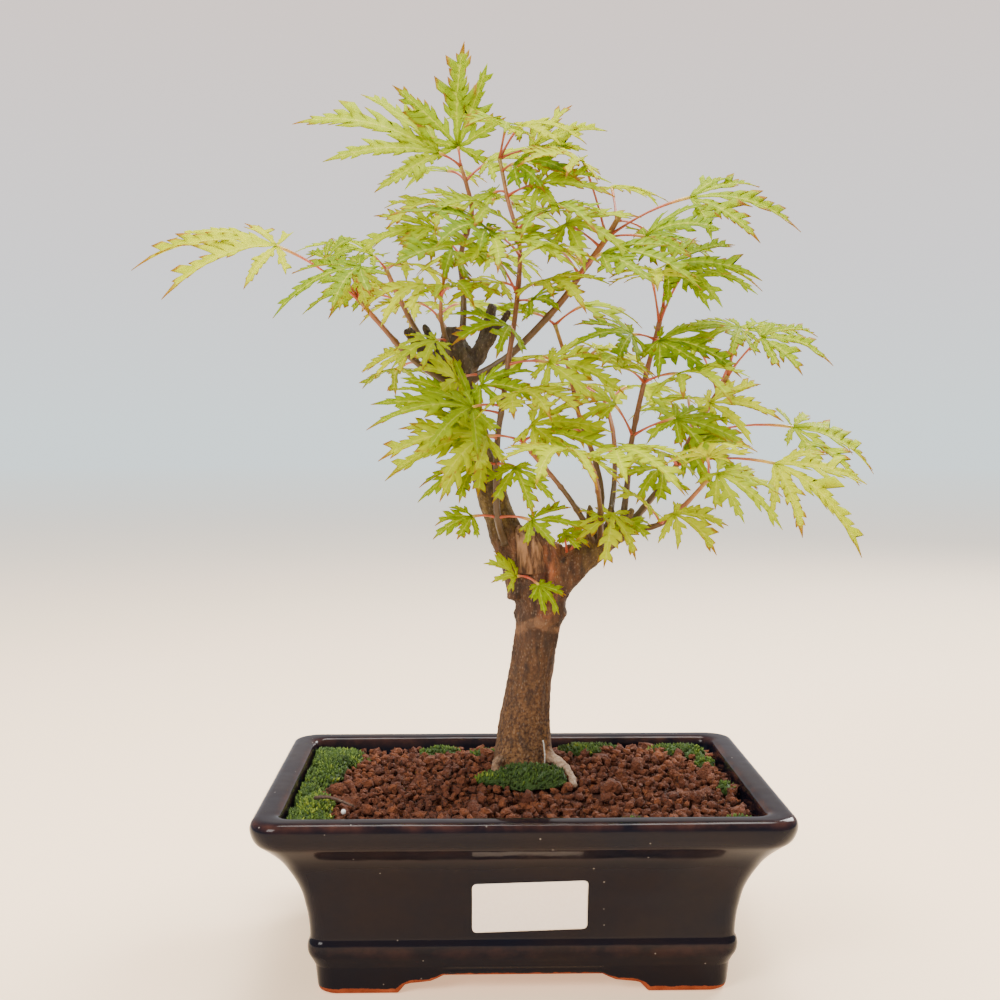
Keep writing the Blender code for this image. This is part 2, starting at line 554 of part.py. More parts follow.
def smooth_route(places, steps):
    """Points on a smooth curve through the route's own points."""
    padded = [2 * places[0] - places[1]] + places + [2 * places[-1] - places[-2]]
    path = []
    for a, b, c, d in zip(padded, padded[1:], padded[2:], padded[3:]):
        for step in range(steps):
            t = step / steps
            path.append(0.5 * (2 * b + (c - a) * t + (2 * a - 5 * b + 4 * c - d) * t ** 2
                               + (3 * b - a - 3 * c + d) * t ** 3))
    return path + [places[-1]]


def along(path, share):
    """Place and direction at a share of a path's length."""
    lengths = [(b - a).length for a, b in zip(path, path[1:])]
    left = share * sum(lengths)
    for a, b, length in zip(path, path[1:], lengths):
        if left <= length:
            return a.lerp(b, left / length), (b - a).normalized()
        left -= length
    return path[-1].copy(), (path[-1] - path[-2]).normalized()


UP = Vector((0, 0, 1))


def clearance(bark, place):
    """Distance of a place from the bark, negative inside the wood."""
    crossings = 0
    spot = bark.ray_cast(place, UP)[0]
    while spot:
        crossings += 1
        spot = bark.ray_cast(spot + 0.001 * MM * UP, UP)[0]
    distance = bark.find_nearest(place)[3]
    return -distance if crossings % 2 else distance


def start_on_bark(path, radius, bark):
    """The path from where the shoot's end face just clears the bark."""
    total = sum((b - a).length for a, b in zip(path, path[1:]))
    travelled = 0.0
    while travelled < 0.8 * total:
        place, heading = along(path, travelled / total)
        side = heading.orthogonal().normalized()
        rim = [place + radius * (math.cos(a) * side + math.sin(a) * heading.cross(side))
               for a in (math.radians(30 * n) for n in range(12))]
        if min(clearance(bark, p) for p in rim + [place]) >= SEAT_GAP:
            break
        travelled += 0.1 * MM
    passed = 0.0
    kept = [place]
    for a, b in zip(path, path[1:]):
        passed += (b - a).length
        if passed > travelled + 1.5 * MM:
            kept.append(b)
    return kept


# Leaves


def leaf_outline(length):
    """Half-open outline of one blade from its foot, as (along, across) places."""
    outline = []
    for number, (turn, share) in enumerate(LOBES):
        angle = math.radians(turn)
        heading = Vector((math.cos(angle), math.sin(angle)))
        side = Vector((-heading.y, heading.x)) * LOBE_HALF_WIDTH * length
        middle = heading * share * LOBE_WIDEST * length
        if number:
            between = math.radians((turn + LOBES[number - 1][0]) / 2)
            outline.append(Vector((math.cos(between), math.sin(between))) * SINUS_DEPTH * length)
        outline += [middle - side, heading * share * length, middle + side]
    return outline


def seat_of(carrier, where, side, shoots):
    """Where a pair of leaves sits, and the way that the seat faces."""
    path, base_radius, tip_radius = shoots[carrier]
    place, heading = along(path, where)
    if side == "tip":
        return place + heading * (SEAT_GAP + LEAF_THICKNESS / 2), heading
    outward = Vector((0, -1, 0)) if side == "front" else Vector((0, 1, 0))
    outward = (outward - heading * outward.dot(heading)).normalized()
    radius = base_radius + where * (tip_radius - base_radius)
    return place + outward * (radius + SEAT_GAP + LEAF_THICKNESS / 2), outward


def make_leaf_pair(name, row, shoots):
    """Two blades on one bent strip, which crosses the shoot as the pair's petioles."""
    carrier, where, side, *leaves = row
    seat, outward = seat_of(carrier, where, side, shoots)
    across = (tree_point(leaves[0][0]) - tree_point(leaves[1][0])).cross(outward).normalized()
    bm = bmesh.new()
    flat = []
    places = []
    for hand, (foot, tip, lean) in zip((1, -1), leaves):
        foot, tip = tree_point(foot), tree_point(tip)
        heading = (tip - foot).normalized()
        length = (tip - foot).length
        face = Vector((0, -math.sin(math.radians(lean)), math.cos(math.radians(lean))))
        face = (face - heading * face.dot(heading)).normalized()
        wide = face.cross(heading)
        if wide.dot(across) < 0:
            wide = -wide
        reach = (foot - seat).length
        bow = (seat + foot) / 2 + Vector((0, 0, 0.12 * reach))
        half = PETIOLE_WIDTH / 2
        row_flat, row_places = [], []
        for end in (-1, 1):
            strip_flat, strip_places = [], []
            for step in range(1, PETIOLE_STEPS + 1):
                t = step / PETIOLE_STEPS
                place = seat.lerp(bow, t).lerp(bow.lerp(foot, t), t)
                width = across.lerp(wide, t).normalized()
                strip_flat.append(Vector((t * reach, end * half)))
                strip_places.append(place + end * half * width)
            if end < 0:
                row_flat += strip_flat
                row_places += strip_places
                for spot in leaf_outline(length):
                    t = spot.length / length
                    rise = BLADE_ARCH * length * 4 * t * (1 - t) - SIDE_DROOP * spot.y ** 2 / length
                    row_flat.append(Vector((reach + spot.x, spot.y)))
                    row_places.append(foot + heading * spot.x + wide * spot.y + face * rise)
            else:
                row_flat += reversed(strip_flat)
                row_places += reversed(strip_places)
        if hand < 0:
            row_flat = [Vector((-p.x, p.y)) for p in reversed(row_flat)]
            row_places.reverse()
        flat += row_flat + [Vector((0, hand * half))]
        places += row_places + [seat + hand * half * across]
    verts = [bm.verts.new((p.x / MM, p.y / MM, 0)) for p in flat]
    blades = bm.faces.new(verts)
    blades.normal_update()
    bmesh.ops.triangulate(bm, faces=[blades])
    for vert, place in zip(verts, places):
        vert.co = place
    pair = add_object(name, mesh_from(bm, name), material("leaf", LEAF_COLOUR, 0.5))
    thicken(pair, LEAF_THICKNESS)


# Assembly

make_pot()
make_label()
for screen_name, screen_side in (("drain_screen_left", -1), ("drain_screen_right", 1)):
    make_screen(screen_name, screen_side)

wood = wood_mesh(0.0, BARK_KEEP)
trunk = add_object("trunk", wood, material("bark", WOOD_COLOUR, 0.85))
cutter_name = "root_cutter"
roots = as_cutter(add_object(cutter_name, wood_mesh(ROOT_GAP, BARK_KEEP),
                             material("cutter", (1, 0, 0, 1), 1), cutters))
soil_top = make_soil(roots)
for pad_name, (pad_middle, pad_half, pad_height) in MOSS_PADS.items():
    make_moss(pad_name, pad_middle, pad_half, pad_height, soil_top, roots)

shape = bmesh.new()
shape.from_mesh(wood)
bark_surface = BVHTree.FromBMesh(shape)
shape.free()
grown = {}
for shoot_name, (shoot_route, shoot_base, shoot_tip) in SHOOTS.items():
    shoot_path = smooth_route([tree_point(p) for p in shoot_route], SHOOT_STEPS)
    shoot_path = start_on_bark(shoot_path, shoot_base * MM, bark_surface)
    count = len(shoot_path) - 1
    shoot_radii = [(shoot_base + (shoot_tip - shoot_base) * n / count) * MM for n in range(count + 1)]
    add_tube(shoot_name, shoot_path, shoot_radii, 1, bonsai)
    grown[shoot_name] = (shoot_path, shoot_base * MM, shoot_tip * MM)
for pair_name, pair_row in LEAF_PAIRS.items():
    make_leaf_pair(pair_name, pair_row, grown)
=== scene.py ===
import math
import random

import bmesh
import bpy
from mathutils import Matrix, Vector, noise
from mathutils.bvhtree import BVHTree
from mathutils.kdtree import KDTree


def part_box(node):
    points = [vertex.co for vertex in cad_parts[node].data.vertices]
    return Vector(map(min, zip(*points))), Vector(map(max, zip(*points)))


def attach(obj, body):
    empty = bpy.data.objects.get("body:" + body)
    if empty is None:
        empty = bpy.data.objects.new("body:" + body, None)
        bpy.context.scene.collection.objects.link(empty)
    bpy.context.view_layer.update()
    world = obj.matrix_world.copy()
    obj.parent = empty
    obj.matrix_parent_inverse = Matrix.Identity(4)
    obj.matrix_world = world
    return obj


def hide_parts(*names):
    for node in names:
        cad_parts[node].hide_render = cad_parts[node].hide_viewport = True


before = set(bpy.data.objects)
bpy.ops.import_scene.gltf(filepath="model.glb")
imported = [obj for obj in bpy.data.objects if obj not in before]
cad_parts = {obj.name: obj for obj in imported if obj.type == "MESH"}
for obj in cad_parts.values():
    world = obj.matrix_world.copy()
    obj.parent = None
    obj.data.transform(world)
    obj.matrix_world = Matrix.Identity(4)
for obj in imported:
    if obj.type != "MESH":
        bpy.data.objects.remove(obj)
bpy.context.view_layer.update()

MM = 0.001
UP = Vector((0, 0, 1))


# The pot: one slip-cast piece of red clay, dipped in a near-black glaze that breaks to
# brown over the lip and the bead. Its feet are wiped bare before the firing, and the
# bracket-shaped gaps between them are cut while the clay is soft.

POT_LOW, POT_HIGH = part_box("pot")
POT_HALF_X = (POT_HIGH.x - POT_LOW.x) / 2
POT_HALF_Y = (POT_HIGH.y - POT_LOW.y) / 2
POT_HEIGHT = POT_HIGH.z
BODY_INSET = 20.7 * MM
FOOT_LENGTH = 27 * MM
FOOT_DEPTH = 22 * MM
ARCH_RISE = 6 * MM
CORNER_STEPS = 10
RUN_STEPS = 56

# how far in from a foot's end, and how much of its rise the gap has there
ARCH = [(0, 0), (0.8, 0.16), (1.8, 0.44), (4, 0.54), (8, 0.60), (12, 0.68), (14, 0.9), (15.5, 1)]

# inset from the lip, height, plan radius of the corners, and how thin the glaze is
POT_SECTION = [
    (19.5, 9.5, 6, 0), (19.1, 10.4, 6, 0.15), (18.3, 12.2, 6, 0.1), (17.4, 14.2, 6, 0.3),
    (17.1, 16.4, 6, 0.4), (17.3, 18.2, 6, 0.1), (17.8, 19.4, 6, 0), (17.9, 20.6, 6, 0),
    (17.7, 24, 6, 0), (17.2, 28, 6, 0), (16.6, 31, 6, 0), (15.9, 34.4, 6, 0), (15.0, 37.3, 6, 0),
    (13.9, 40, 6, 0), (12.7, 42.4, 6.2, 0), (11.3, 44.9, 6.5, 0), (9.6, 47.6, 7, 0),
    (7.0, 50.6, 7.8, 0.1), (3.7, 53.6, 9, 0.2), (1.9, 55.2, 9.6, 0.2), (0.8, 57, 10, 0.1),
    (0.2, 59, 10, 0), (0, 60.6, 10, 0.1), (0.2, 62, 10, 0.4), (0.9, 63.2, 9.7, 0.9),
    (2.2, 63.9, 9, 0.4), (4.2, 64, 8, 0.1), (7.2, 63.9, 7, 0.2), (8.7, 63.4, 6.2, 0.8),
    (9.5, 62.2, 6, 0.7), (10.0, 59.5, 5.4, 0.1), (11, 56, 5, 0), (12.7, 52, 5, 0),
    (16.4, 46.7, 5, 0), (21.0, 37.3, 4, 0), (23.6, 24.5, 4, 0), (25.7, 16, 4, 0),
    (28.5, 12.4, 3, 0), (34, 12, 3, 0),
]


def smooth(rows, steps):
    """A smooth curve through rows of numbers, with steps places from each row to the next."""
    rows = [Vector(row) for row in rows]
    ends = [2 * rows[0] - rows[1]] + rows + [2 * rows[-1] - rows[-2]]
    curve = []
    for a, b, c, d in zip(ends, ends[1:], ends[2:], ends[3:]):
        for step in range(steps):
            t = step / steps
            curve.append(0.5 * ((2 * b) + (c - a) * t + (2 * a - 5 * b + 4 * c - d) * t * t
                                + (3 * b - a - 3 * c + d) * t ** 3))
    return curve + [rows[-1]]


def ramp(pairs, at):
    """The value at a place, from pairs of places and values."""
    for (a, low), (b, high) in zip(pairs, pairs[1:]):
        if at <= b:
            return low + (high - low) * max(0.0, at - a) / (b - a)
    return pairs[-1][1]


def round_plan(half_x, half_y, corner):
    """The plan of a box with round corners, as places in order round it."""
    plan = []
    for quarter, (sx, sy) in enumerate([(1, 1), (-1, 1), (-1, -1), (1, -1)]):
        centre = Vector((sx * (half_x - corner), sy * (half_y - corner)))
        for step in range(CORNER_STEPS + 1):
            angle = math.radians(90 * (quarter + step / CORNER_STEPS))
            plan.append(centre + corner * Vector((math.cos(angle), math.sin(angle))))
        turn = math.radians(90 * (quarter + 1))
        run = 2 * ((half_x - corner) if quarter % 2 == 0 else (half_y - corner))
        along = Vector((-math.sin(turn), math.cos(turn)))
        start = plan[-1]
        for step in range(1, RUN_STEPS):
            plan.append(start + along * run * step / RUN_STEPS)
    return plan


def draw_out(bm, rings, marks):
    """A loop extruded through rings of places and closed at both ends. marks gives named values:
    for each ring a number, or a list of them round it."""
    whole, part = bm.verts.layers.int, bm.verts.layers.float
    if not whole.get("place"):
        whole.new("place")
    for name in marks:
        if not part.get(name):
            part.new(name)
    place = whole["place"]
    verts = bmesh.ops.create_circle(bm, segments=len(rings[0]), radius=1)["verts"]
    for index, vert in enumerate(verts):
        vert[place] = index
    loop = list({edge for vert in verts for edge in vert.link_edges})
    ends = []
    for number, ring in enumerate(rings):
        if number:
            made = bmesh.ops.extrude_edge_only(bm, edges=loop)["geom"]
            verts = [item for item in made if isinstance(item, bmesh.types.BMVert)]
            fresh = set(verts)
            loop = [item for item in made if isinstance(item, bmesh.types.BMEdge)
                    and fresh.issuperset(item.verts)]
        for vert in verts:
            vert.co = ring[vert[place]]
            for name, values in marks.items():
                value = values[number]
                vert[part[name]] = value[vert[place]] if isinstance(value, list) else value
        if number in (0, len(rings) - 1):
            ends.append(list(loop))
    for loop in ends:
        bmesh.ops.contextual_create(bm, geom=loop)


def piece_from(bm, name, surfaces, stands_for=()):
    """The finished object: its materials, the body it rides on and the nodes it stands for."""
    mesh = bpy.data.meshes.new(name)
    bm.to_mesh(mesh)
    bm.free()
    mesh.shade_smooth()
    for surface in surfaces:
        mesh.materials.append(surface)
    made = bpy.data.objects.new(name, mesh)
    bpy.context.scene.collection.objects.link(made)
    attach(made, "root")
    if stands_for:
        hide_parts(*stands_for)
    return made


def put(tree, kind, inputs=None, **options):
    """A shader node with its options set, and its inputs set or linked."""
    made = tree.nodes.new(kind)
    for key, value in options.items():
        setattr(made, key, value)
    for key, value in (inputs or {}).items():
        if isinstance(value, bpy.types.NodeSocket):
            tree.links.new(value, made.inputs[key])
        else:
            made.inputs[key].default_value = value
    return made


def effect(name, takes, gives):
    """A new node group: its tree, the sockets of its inputs, and its output node."""
    tree = bpy.data.node_groups.new(name, "ShaderNodeTree")
    for socket, kind, start in takes:
        made = tree.interface.new_socket(socket, in_out="INPUT", socket_type="NodeSocket" + kind)
        if start is not None:
            made.default_value = start
    tree.interface.new_socket(gives, in_out="OUTPUT", socket_type="NodeSocketFloat")
    return tree, tree.nodes.new("NodeGroupInput").outputs, tree.nodes.new("NodeGroupOutput")


# soft patches of a second colour: noise of a given size, stretched between two levels
patches, given, result = effect(
    "patches", [("Vector", "Vector", None), ("Scale", "Float", 100.0), ("Low", "Float", 0.4),
                ("High", "Float", 0.6)], "Mask")
cloud = put(patches, "ShaderNodeTexNoise", {"Vector": given["Vector"], "Scale": given["Scale"],
                                            "Detail": 4.0, "Roughness": 0.6})
spread = put(patches, "ShaderNodeMapRange",
             {0: cloud.outputs["Fac"], 1: given["Low"], 2: given["High"]})
patches.links.new(spread.outputs[0], result.inputs[0])

# specks: small round spots strewn over the surface, some of them missing
specks, given, result = effect(
    "specks", [("Vector", "Vector", None), ("Scale", "Float", 400.0), ("Size", "Float", 0.2),
               ("Share", "Float", 0.5)], "Mask")
cells = put(specks, "ShaderNodeTexVoronoi", {"Vector": given["Vector"], "Scale": given["Scale"]})
inside = put(specks, "ShaderNodeMapRange",
             {0: cells.outputs["Distance"], 1: given["Size"], 2: 0.0})
pick = put(specks, "ShaderNodeSeparateColor", {0: cells.outputs["Color"]})
chosen = put(specks, "ShaderNodeMath", {0: pick.outputs[0], 1: given["Share"]},
             operation="LESS_THAN")
both = put(specks, "ShaderNodeMath", {0: inside.outputs[0], 1: chosen.outputs[0]},
           operation="MULTIPLY")
specks.links.new(both.outputs[0], result.inputs[0])

# grit: a fine, pitted grain, for the height of a bump
grit, given, result = effect(
    "grit", [("Vector", "Vector", None), ("Scale", "Float", 500.0)], "Height")
grain = put(grit, "ShaderNodeTexNoise", {"Vector": given["Vector"], "Scale": given["Scale"],
                                         "Detail": 6.0, "Roughness": 0.7})
pits = put(grit, "ShaderNodeTexVoronoi", {"Vector": given["Vector"], "Scale": given["Scale"]})
summed = put(grit, "ShaderNodeMath", {0: grain.outputs["Fac"], 1: pits.outputs["Distance"]},
             operation="ADD")
grit.links.new(summed.outputs[0], result.inputs[0])


def finish(name, roughness, shine=0.5):
    """A new material: the material, its tree, its shader and its object coordinates."""
    made = bpy.data.materials.new(name)
    made.use_nodes = True
    tree = made.node_tree
    tree.nodes.clear()
    surface = put(tree, "ShaderNodeBsdfPrincipled",
                  {"Roughness": roughness, "Specular IOR Level": shine})
    put(tree, "ShaderNodeOutputMaterial", {"Surface": surface.outputs[0]})
    return made, tree, surface, put(tree, "ShaderNodeTexCoord").outputs["Object"]


def patchy(tree, at, scale, low=0.4, high=0.6):
    return put(tree, "ShaderNodeGroup", {"Vector": at, "Scale": scale, "Low": low, "High": high},
               node_tree=patches).outputs[0]


def speckled(tree, at, scale, size, share):
    return put(tree, "ShaderNodeGroup",
               {"Vector": at, "Scale": scale, "Size": size, "Share": share},
               node_tree=specks).outputs[0]


def gritty(tree, at, scale):
    return put(tree, "ShaderNodeGroup", {"Vector": at, "Scale": scale}, node_tree=grit).outputs[0]


def graded(tree, value, stops):
    """Colours along a value from 0 to 1, from pairs of places and colours."""
    ramp_node = put(tree, "ShaderNodeValToRGB", {0: value})
    stop_list = ramp_node.color_ramp.elements
    stop_list[0].color = (*stops[0][1], 1)
    stop_list[1].color = (*stops[-1][1], 1)
    for at, colour in stops[1:-1]:
        stop_list.new(at).color = (*colour, 1)
    return ramp_node.outputs[0]


def blended(tree, share, first, second):
    """A colour between two colours; share and the colours are sockets or values."""
    made = put(tree, "ShaderNodeMix", data_type="RGBA")
    for index, value in ((0, share), (6, first), (7, second)):
        if isinstance(value, bpy.types.NodeSocket):
            tree.links.new(value, made.inputs[index])
        else:
            made.inputs[index].default_value = value if index == 0 else (*value[:3], 1)
    return made.outputs[2]


def worked(tree, how, first, second=0.0):
    return put(tree, "ShaderNodeMath", {0: first, 1: second}, operation=how).outputs[0]


def times(tree, first, second):
    return worked(tree, "MULTIPLY", first, second)


def stretched(tree, value, low, high, to_low=0.0, to_high=1.0):
    return put(tree, "ShaderNodeMapRange",
               {0: value, 1: low, 2: high, 3: to_low, 4: to_high}).outputs[0]


def bumped(tree, surface, height, distance, strength=1.0):
    bump = put(tree, "ShaderNodeBump",
               {"Height": height, "Distance": distance, "Strength": strength})
    tree.links.new(bump.outputs[0], surface.inputs["Normal"])
    return bump


def painted(tree, surface, colour):
    tree.links.new(colour, surface.inputs["Base Color"])


def marked(tree, name):
    """A value that the mesh carries."""
    return put(tree, "ShaderNodeAttribute", attribute_name=name).outputs["Fac"]


glaze, tree, surface, here = finish("glaze", 0.16, 0.13)
cloudy = patchy(tree, here, 28, 0.35, 0.7)
body = blended(tree, cloudy, (0.003, 0.004, 0.010), (0.009, 0.006, 0.008))
break_edge = times(tree, marked(tree, "thin"), patchy(tree, here, 90, 0.3, 0.65))
broken = stretched(tree, break_edge, 0.1, 0.9, 0.0, 0.7)
body = blended(tree, broken, body, (0.070, 0.028, 0.020))
clay_cloud = patchy(tree, here, 220, 0.3, 0.7)
clay = blended(tree, clay_cloud, (0.19, 0.036, 0.012), (0.31, 0.070, 0.024))
ragged = worked(tree, "ADD", marked(tree, "bare"), times(tree, patchy(tree, here, 300), 0.25))
bare = stretched(tree, ragged, 0.55, 0.68)
body = blended(tree, bare, body, clay)
dust = speckled(tree, here, 230, 0.09, 0.28)
body = blended(tree, times(tree, dust, 0.6), body, (0.42, 0.38, 0.34))
painted(tree, surface, body)
film = patchy(tree, here, 45, 0.3, 0.75)
gloss = stretched(tree, film, 0.0, 1.0, 0.06, 0.17)
dull = worked(tree, "MAXIMUM", bare, dust)
rough = put(tree, "ShaderNodeMix", {0: dull, 2: gloss, 3: 0.8}).outputs[0]
tree.links.new(rough, surface.inputs["Roughness"])
ripple = put(tree, "ShaderNodeTexNoise", {"Vector": here, "Scale": 55, "Detail": 2}).outputs["Fac"]
clay_grit = times(tree, bare, times(tree, gritty(tree, here, 1500), 0.25))
bumped(tree, surface, worked(tree, "ADD", ripple, clay_grit), 0.5 * MM, 0.5)


def foot_lift(x, y):
    """How far the pot's lower edge stands off the ground there."""
    in_x = POT_HALF_X - BODY_INSET - FOOT_LENGTH - abs(x)
    in_y = POT_HALF_Y - BODY_INSET - FOOT_DEPTH - abs(y)
    return ARCH_RISE * max(ramp(ARCH, in_x / MM), ramp(ARCH, in_y / MM))


def pot_ring(inset, corner, height):
    plan = round_plan(POT_HALF_X - inset * MM, POT_HALF_Y - inset * MM, corner * MM)
    return [Vector((x, y, height(x, y) if callable(height) else height)) for x, y in plan]


# the foot's edge: inset, corner radius, and height over the foot's own lower line
FOOT_ROWS = [(27.7, 4, 0.6), (26.4, 4.5, 0.1), (24, 5, 0), (22.6, 5.4, 0), (21.5, 5.8, 0.3),
             (20.7, 6, 0.9), (20.4, 6, 1.6), (20.2, 6, 2.3), (20.1, 6, 3.0)]
rings = [pot_ring(34, 6, ARCH_RISE), pot_ring(28.2, 8, ARCH_RISE)]
bare_marks = [1.0, 1.0]
for inset, corner, up in FOOT_ROWS:
    rings.append(pot_ring(inset, corner, lambda x, y: foot_lift(x, y) + up * MM))
    bare_marks.append([max(0.0, min(1.0, (3.0 - 0.2 * foot_lift(x, y) / MM - up) / 1.6))
                       for x, y, z in rings[-1]])
thin = [0.0] * len(rings)
for inset, height, corner, thinness in smooth(POT_SECTION, 2):
    rings.append(pot_ring(max(inset, 0), corner, height * MM))
    thin.append(max(0.0, thinness))
    bare_marks.append(0.0)
bm = bmesh.new()
draw_out(bm, rings, {"thin": thin, "bare": bare_marks})
for sx in (-1, 1):
    for sy in (-1, 1):
        block = bmesh.ops.create_cube(bm, size=1)["verts"]
        bmesh.ops.scale(bm, verts=block, vec=(FOOT_LENGTH - 3 * MM, FOOT_DEPTH - 3 * MM, ARCH_RISE))
        middle = Vector((sx * (POT_HALF_X - BODY_INSET - FOOT_LENGTH / 2 - 1 * MM),
                         sy * (POT_HALF_Y - BODY_INSET - FOOT_DEPTH / 2 - 1 * MM),
                         ARCH_RISE / 2 + 0.2 * MM))
        bmesh.ops.translate(bm, verts=block, vec=middle)
        for vert in block:
            vert[bm.verts.layers.float["bare"]] = 1.0
bmesh.ops.recalc_face_normals(bm, faces=bm.faces)
pot = piece_from(bm, "glazed_pot", [glaze], ["pot"])


# The label: a blank self-adhesive paper label with round corners, stuck on the front wall
# and bent to its hollow curve.

LABEL_HALF = Vector((19.3, 8.9)) * MM
LABEL_MIDDLE = Vector((2, 31.6)) * MM
LABEL_CORNER = 1.6 * MM
LABEL_LEAN = 0.03   # it was stuck on a little askew, its right end higher

label_paper, tree, surface, here = finish("label_paper", 0.38)
fibre = patchy(tree, here, 900, 0.3, 0.7)
painted(tree, surface, blended(tree, fibre, (0.93, 0.84, 0.76), (0.97, 0.90, 0.82)))
bumped(tree, surface, gritty(tree, here, 2500), 0.01 * MM, 0.4)

wall_at = BVHTree.FromPolygons([vert.co for vert in pot.data.vertices],
                               [face.vertices for face in pot.data.polygons])
bm = bmesh.new()
bmesh.ops.create_grid(bm, x_segments=64, y_segments=30, size=1)
core = LABEL_HALF - Vector((LABEL_CORNER, LABEL_CORNER))
for vert in bm.verts:
    spot = Vector((vert.co.x * LABEL_HALF.x, vert.co.y * LABEL_HALF.y))
    past = Vector((max(abs(spot.x) - core.x, 0), max(abs(spot.y) - core.y, 0)))
    if past.x > 0 and past.y > 0 and past.length > LABEL_CORNER:
        past *= LABEL_CORNER / past.length
        spot = Vector((math.copysign(core.x + past.x, spot.x),
                       math.copysign(core.y + past.y, spot.y)))
    spot += LABEL_MIDDLE + Vector((0, spot.x * LABEL_LEAN))
    touch = wall_at.ray_cast(Vector((spot.x, -POT_HALF_Y - 10 * MM, spot.y)), Vector((0, 1, 0)))[0]
    vert.co = touch - Vector((0, 0.2 * MM, 0))
label = piece_from(bm, "blank_label", [label_paper], ["pot_label"])
sheet = label.modifiers.new("paper", "SOLIDIFY")
sheet.thickness = 0.15 * MM
sheet.offset = 0


# The drain screens: squares of black plastic net over the drain holes, under the soil.

net_plastic, tree, surface, here = finish("net_plastic", 0.5)
worn = patchy(tree, here, 350)
painted(tree, surface, blended(tree, worn, (0.02, 0.02, 0.02), (0.05, 0.045, 0.04)))
bumped(tree, surface, gritty(tree, here, 1200), 0.05 * MM)
for name in ("drain_screen_left", "drain_screen_right"):
    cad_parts[name].data.materials.clear()
    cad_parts[name].data.materials.append(net_plastic)


# The soil: hard baked clay and lava grains, 3 to 8 mm across, poured round the roots over
# finer soil. Each grain is a broken lump with pitted faces.

SOIL_LOW, SOIL_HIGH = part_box("soil")
GRAIN_SHAPES = 14
GRAIN_TRIES = 8000

grain_clay, tree, surface, here = finish("grain_clay", 0.9)
own = graded(tree, marked(tree, "tint"), [
    (0, (0.075, 0.018, 0.007)), (0.3, (0.13, 0.033, 0.011)),
    (0.75, (0.22, 0.062, 0.019)), (1, (0.40, 0.115, 0.030))])
# painted shade: dark blotches stand in for the shade in the grains' pits
painted_pit_shade = patchy(tree, here, 420, 0.35, 0.7)
body = blended(tree, times(tree, painted_pit_shade, 0.6), own, (0.050, 0.013, 0.006))
# painted highlights: small pale orange specks stand in for light catching the grains' rough faces
painted_highlight_specks = speckled(tree, here, 900, 0.22, 0.25)
body = blended(tree, times(tree, painted_highlight_specks, 0.5), body, (0.38, 0.19, 0.10))
painted(tree, surface, body)
bumped(tree, surface, gritty(tree, here, 750), 1.2 * MM, 1.0)


def node_copy(name):
    """A merged copy of a node's mesh."""
    bm = bmesh.new()
    bm.from_mesh(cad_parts[name].data)
    bmesh.ops.remove_doubles(bm, verts=bm.verts, dist=0.005 * MM)
    return bm


def tree_of(bm):
    bm.normal_update()
    return BVHTree.FromBMesh(bm)


bed = node_copy("soil")
for face in bed.faces:
    face.smooth = True
bed_top = tree_of(bed)
bm = bed.copy()
for vert in bm.verts:
    if vert.normal.z > 0.2:
        vert.co.z -= 1.8 * MM
fine_soil = piece_from(bm, "fine_soil", [grain_clay], ["soil"])
fine_soil.data.attributes.new("tint", "FLOAT", "POINT")

MOSS_PADS = ["moss_left_back", "moss_left_front", "moss_back_left", "moss_back_middle",
             "moss_back_right", "moss_trunk_foot"]


def moss_mat(name):
    """A cushion's own mesh; the two at the left wall are drawn in towards it."""
    mat = node_copy(name)
    if name.startswith("moss_left"):
        for vert in mat.verts:
            vert.co.x = SOIL_LOW.x + 0.7 * (vert.co.x - SOIL_LOW.x)
    return mat


covers = [tree_of(moss_mat(name)) for name in MOSS_PADS] + [tree_of(node_copy("trunk"))]
# more moss past the six cushions: its middle, and its reach along and across the pot, in mm
MOSS_TUFTS = {"moss_front_right": (36, -52, 4.5, 2.8), "moss_right_corner": (72, -50, 5.5, 3.3),
              "moss_trunk_right": (24, 20, 8, 5), "moss_back_corner": (60, 47, 6, 4),
              "moss_wall_front": (-79, -14, 9, 16), "moss_wall_middle": (-79, 10, 9, 15),
              "moss_wall_back": (-76, 40, 18, 17), "moss_corner_front": (-79, -44, 15, 12),
              "moss_foot_left": (-9, -13, 7, 4), "moss_trunk_back": (-12, 26, 6, 4),
              "moss_end_right": (74, 30, 4, 4), "moss_end_middle": (75, -8, 3, 4)}


def top_of(tree, x, y):
    """The highest place of a solid above a spot, or None."""
    return tree.ray_cast(Vector((x, y, POT_HEIGHT + 20 * MM)), -UP)[0]


def grain_shape(rng):
    """One lump: a cube cut up once, pulled towards a ball, and broken unevenly."""
    lump = bmesh.new()
    bmesh.ops.create_cube(lump, size=1)
    bmesh.ops.subdivide_edges(lump, edges=lump.edges[:], cuts=1, use_grid_fill=True)
    shift = Vector([rng.uniform(0, 50) for _ in range(3)])
    stretch = Vector((rng.uniform(0.8, 1.15), rng.uniform(0.65, 1.0), rng.uniform(0.55, 0.85)))
    for vert in lump.verts:
        ball = vert.co.normalized() * 0.5
        spot = vert.co.lerp(ball, 0.6)
        spot *= 1 + 0.75 * noise.noise(spot * 2.4 + shift) + 0.35 * noise.noise(spot * 6 + shift)
        vert.co = Vector((spot.x * stretch.x, spot.y * stretch.y, spot.z * stretch.z))
    made = bpy.data.meshes.new("lump")
    lump.to_mesh(made)
    lump.free()
    return made


rng = random.Random(7)
shapes = [grain_shape(rng) for _ in range(GRAIN_SHAPES)]


def scatter(bm, shape, matrix, tint_value):
    """A copy of a small shape, placed by a matrix and given its own tint."""
    start = len(bm.verts)
    bm.from_mesh(shape)
    bm.verts.ensure_lookup_table()
    layer = bm.verts.layers.float["tint"]
    for vert in bm.verts[start:]:
        vert.co = matrix @ vert.co
        vert[layer] = tint_value


def turned(rng):
    return Matrix.Rotation(rng.uniform(0, 6.28), 4, Vector([rng.gauss(0, 1) for _ in range(3)]))


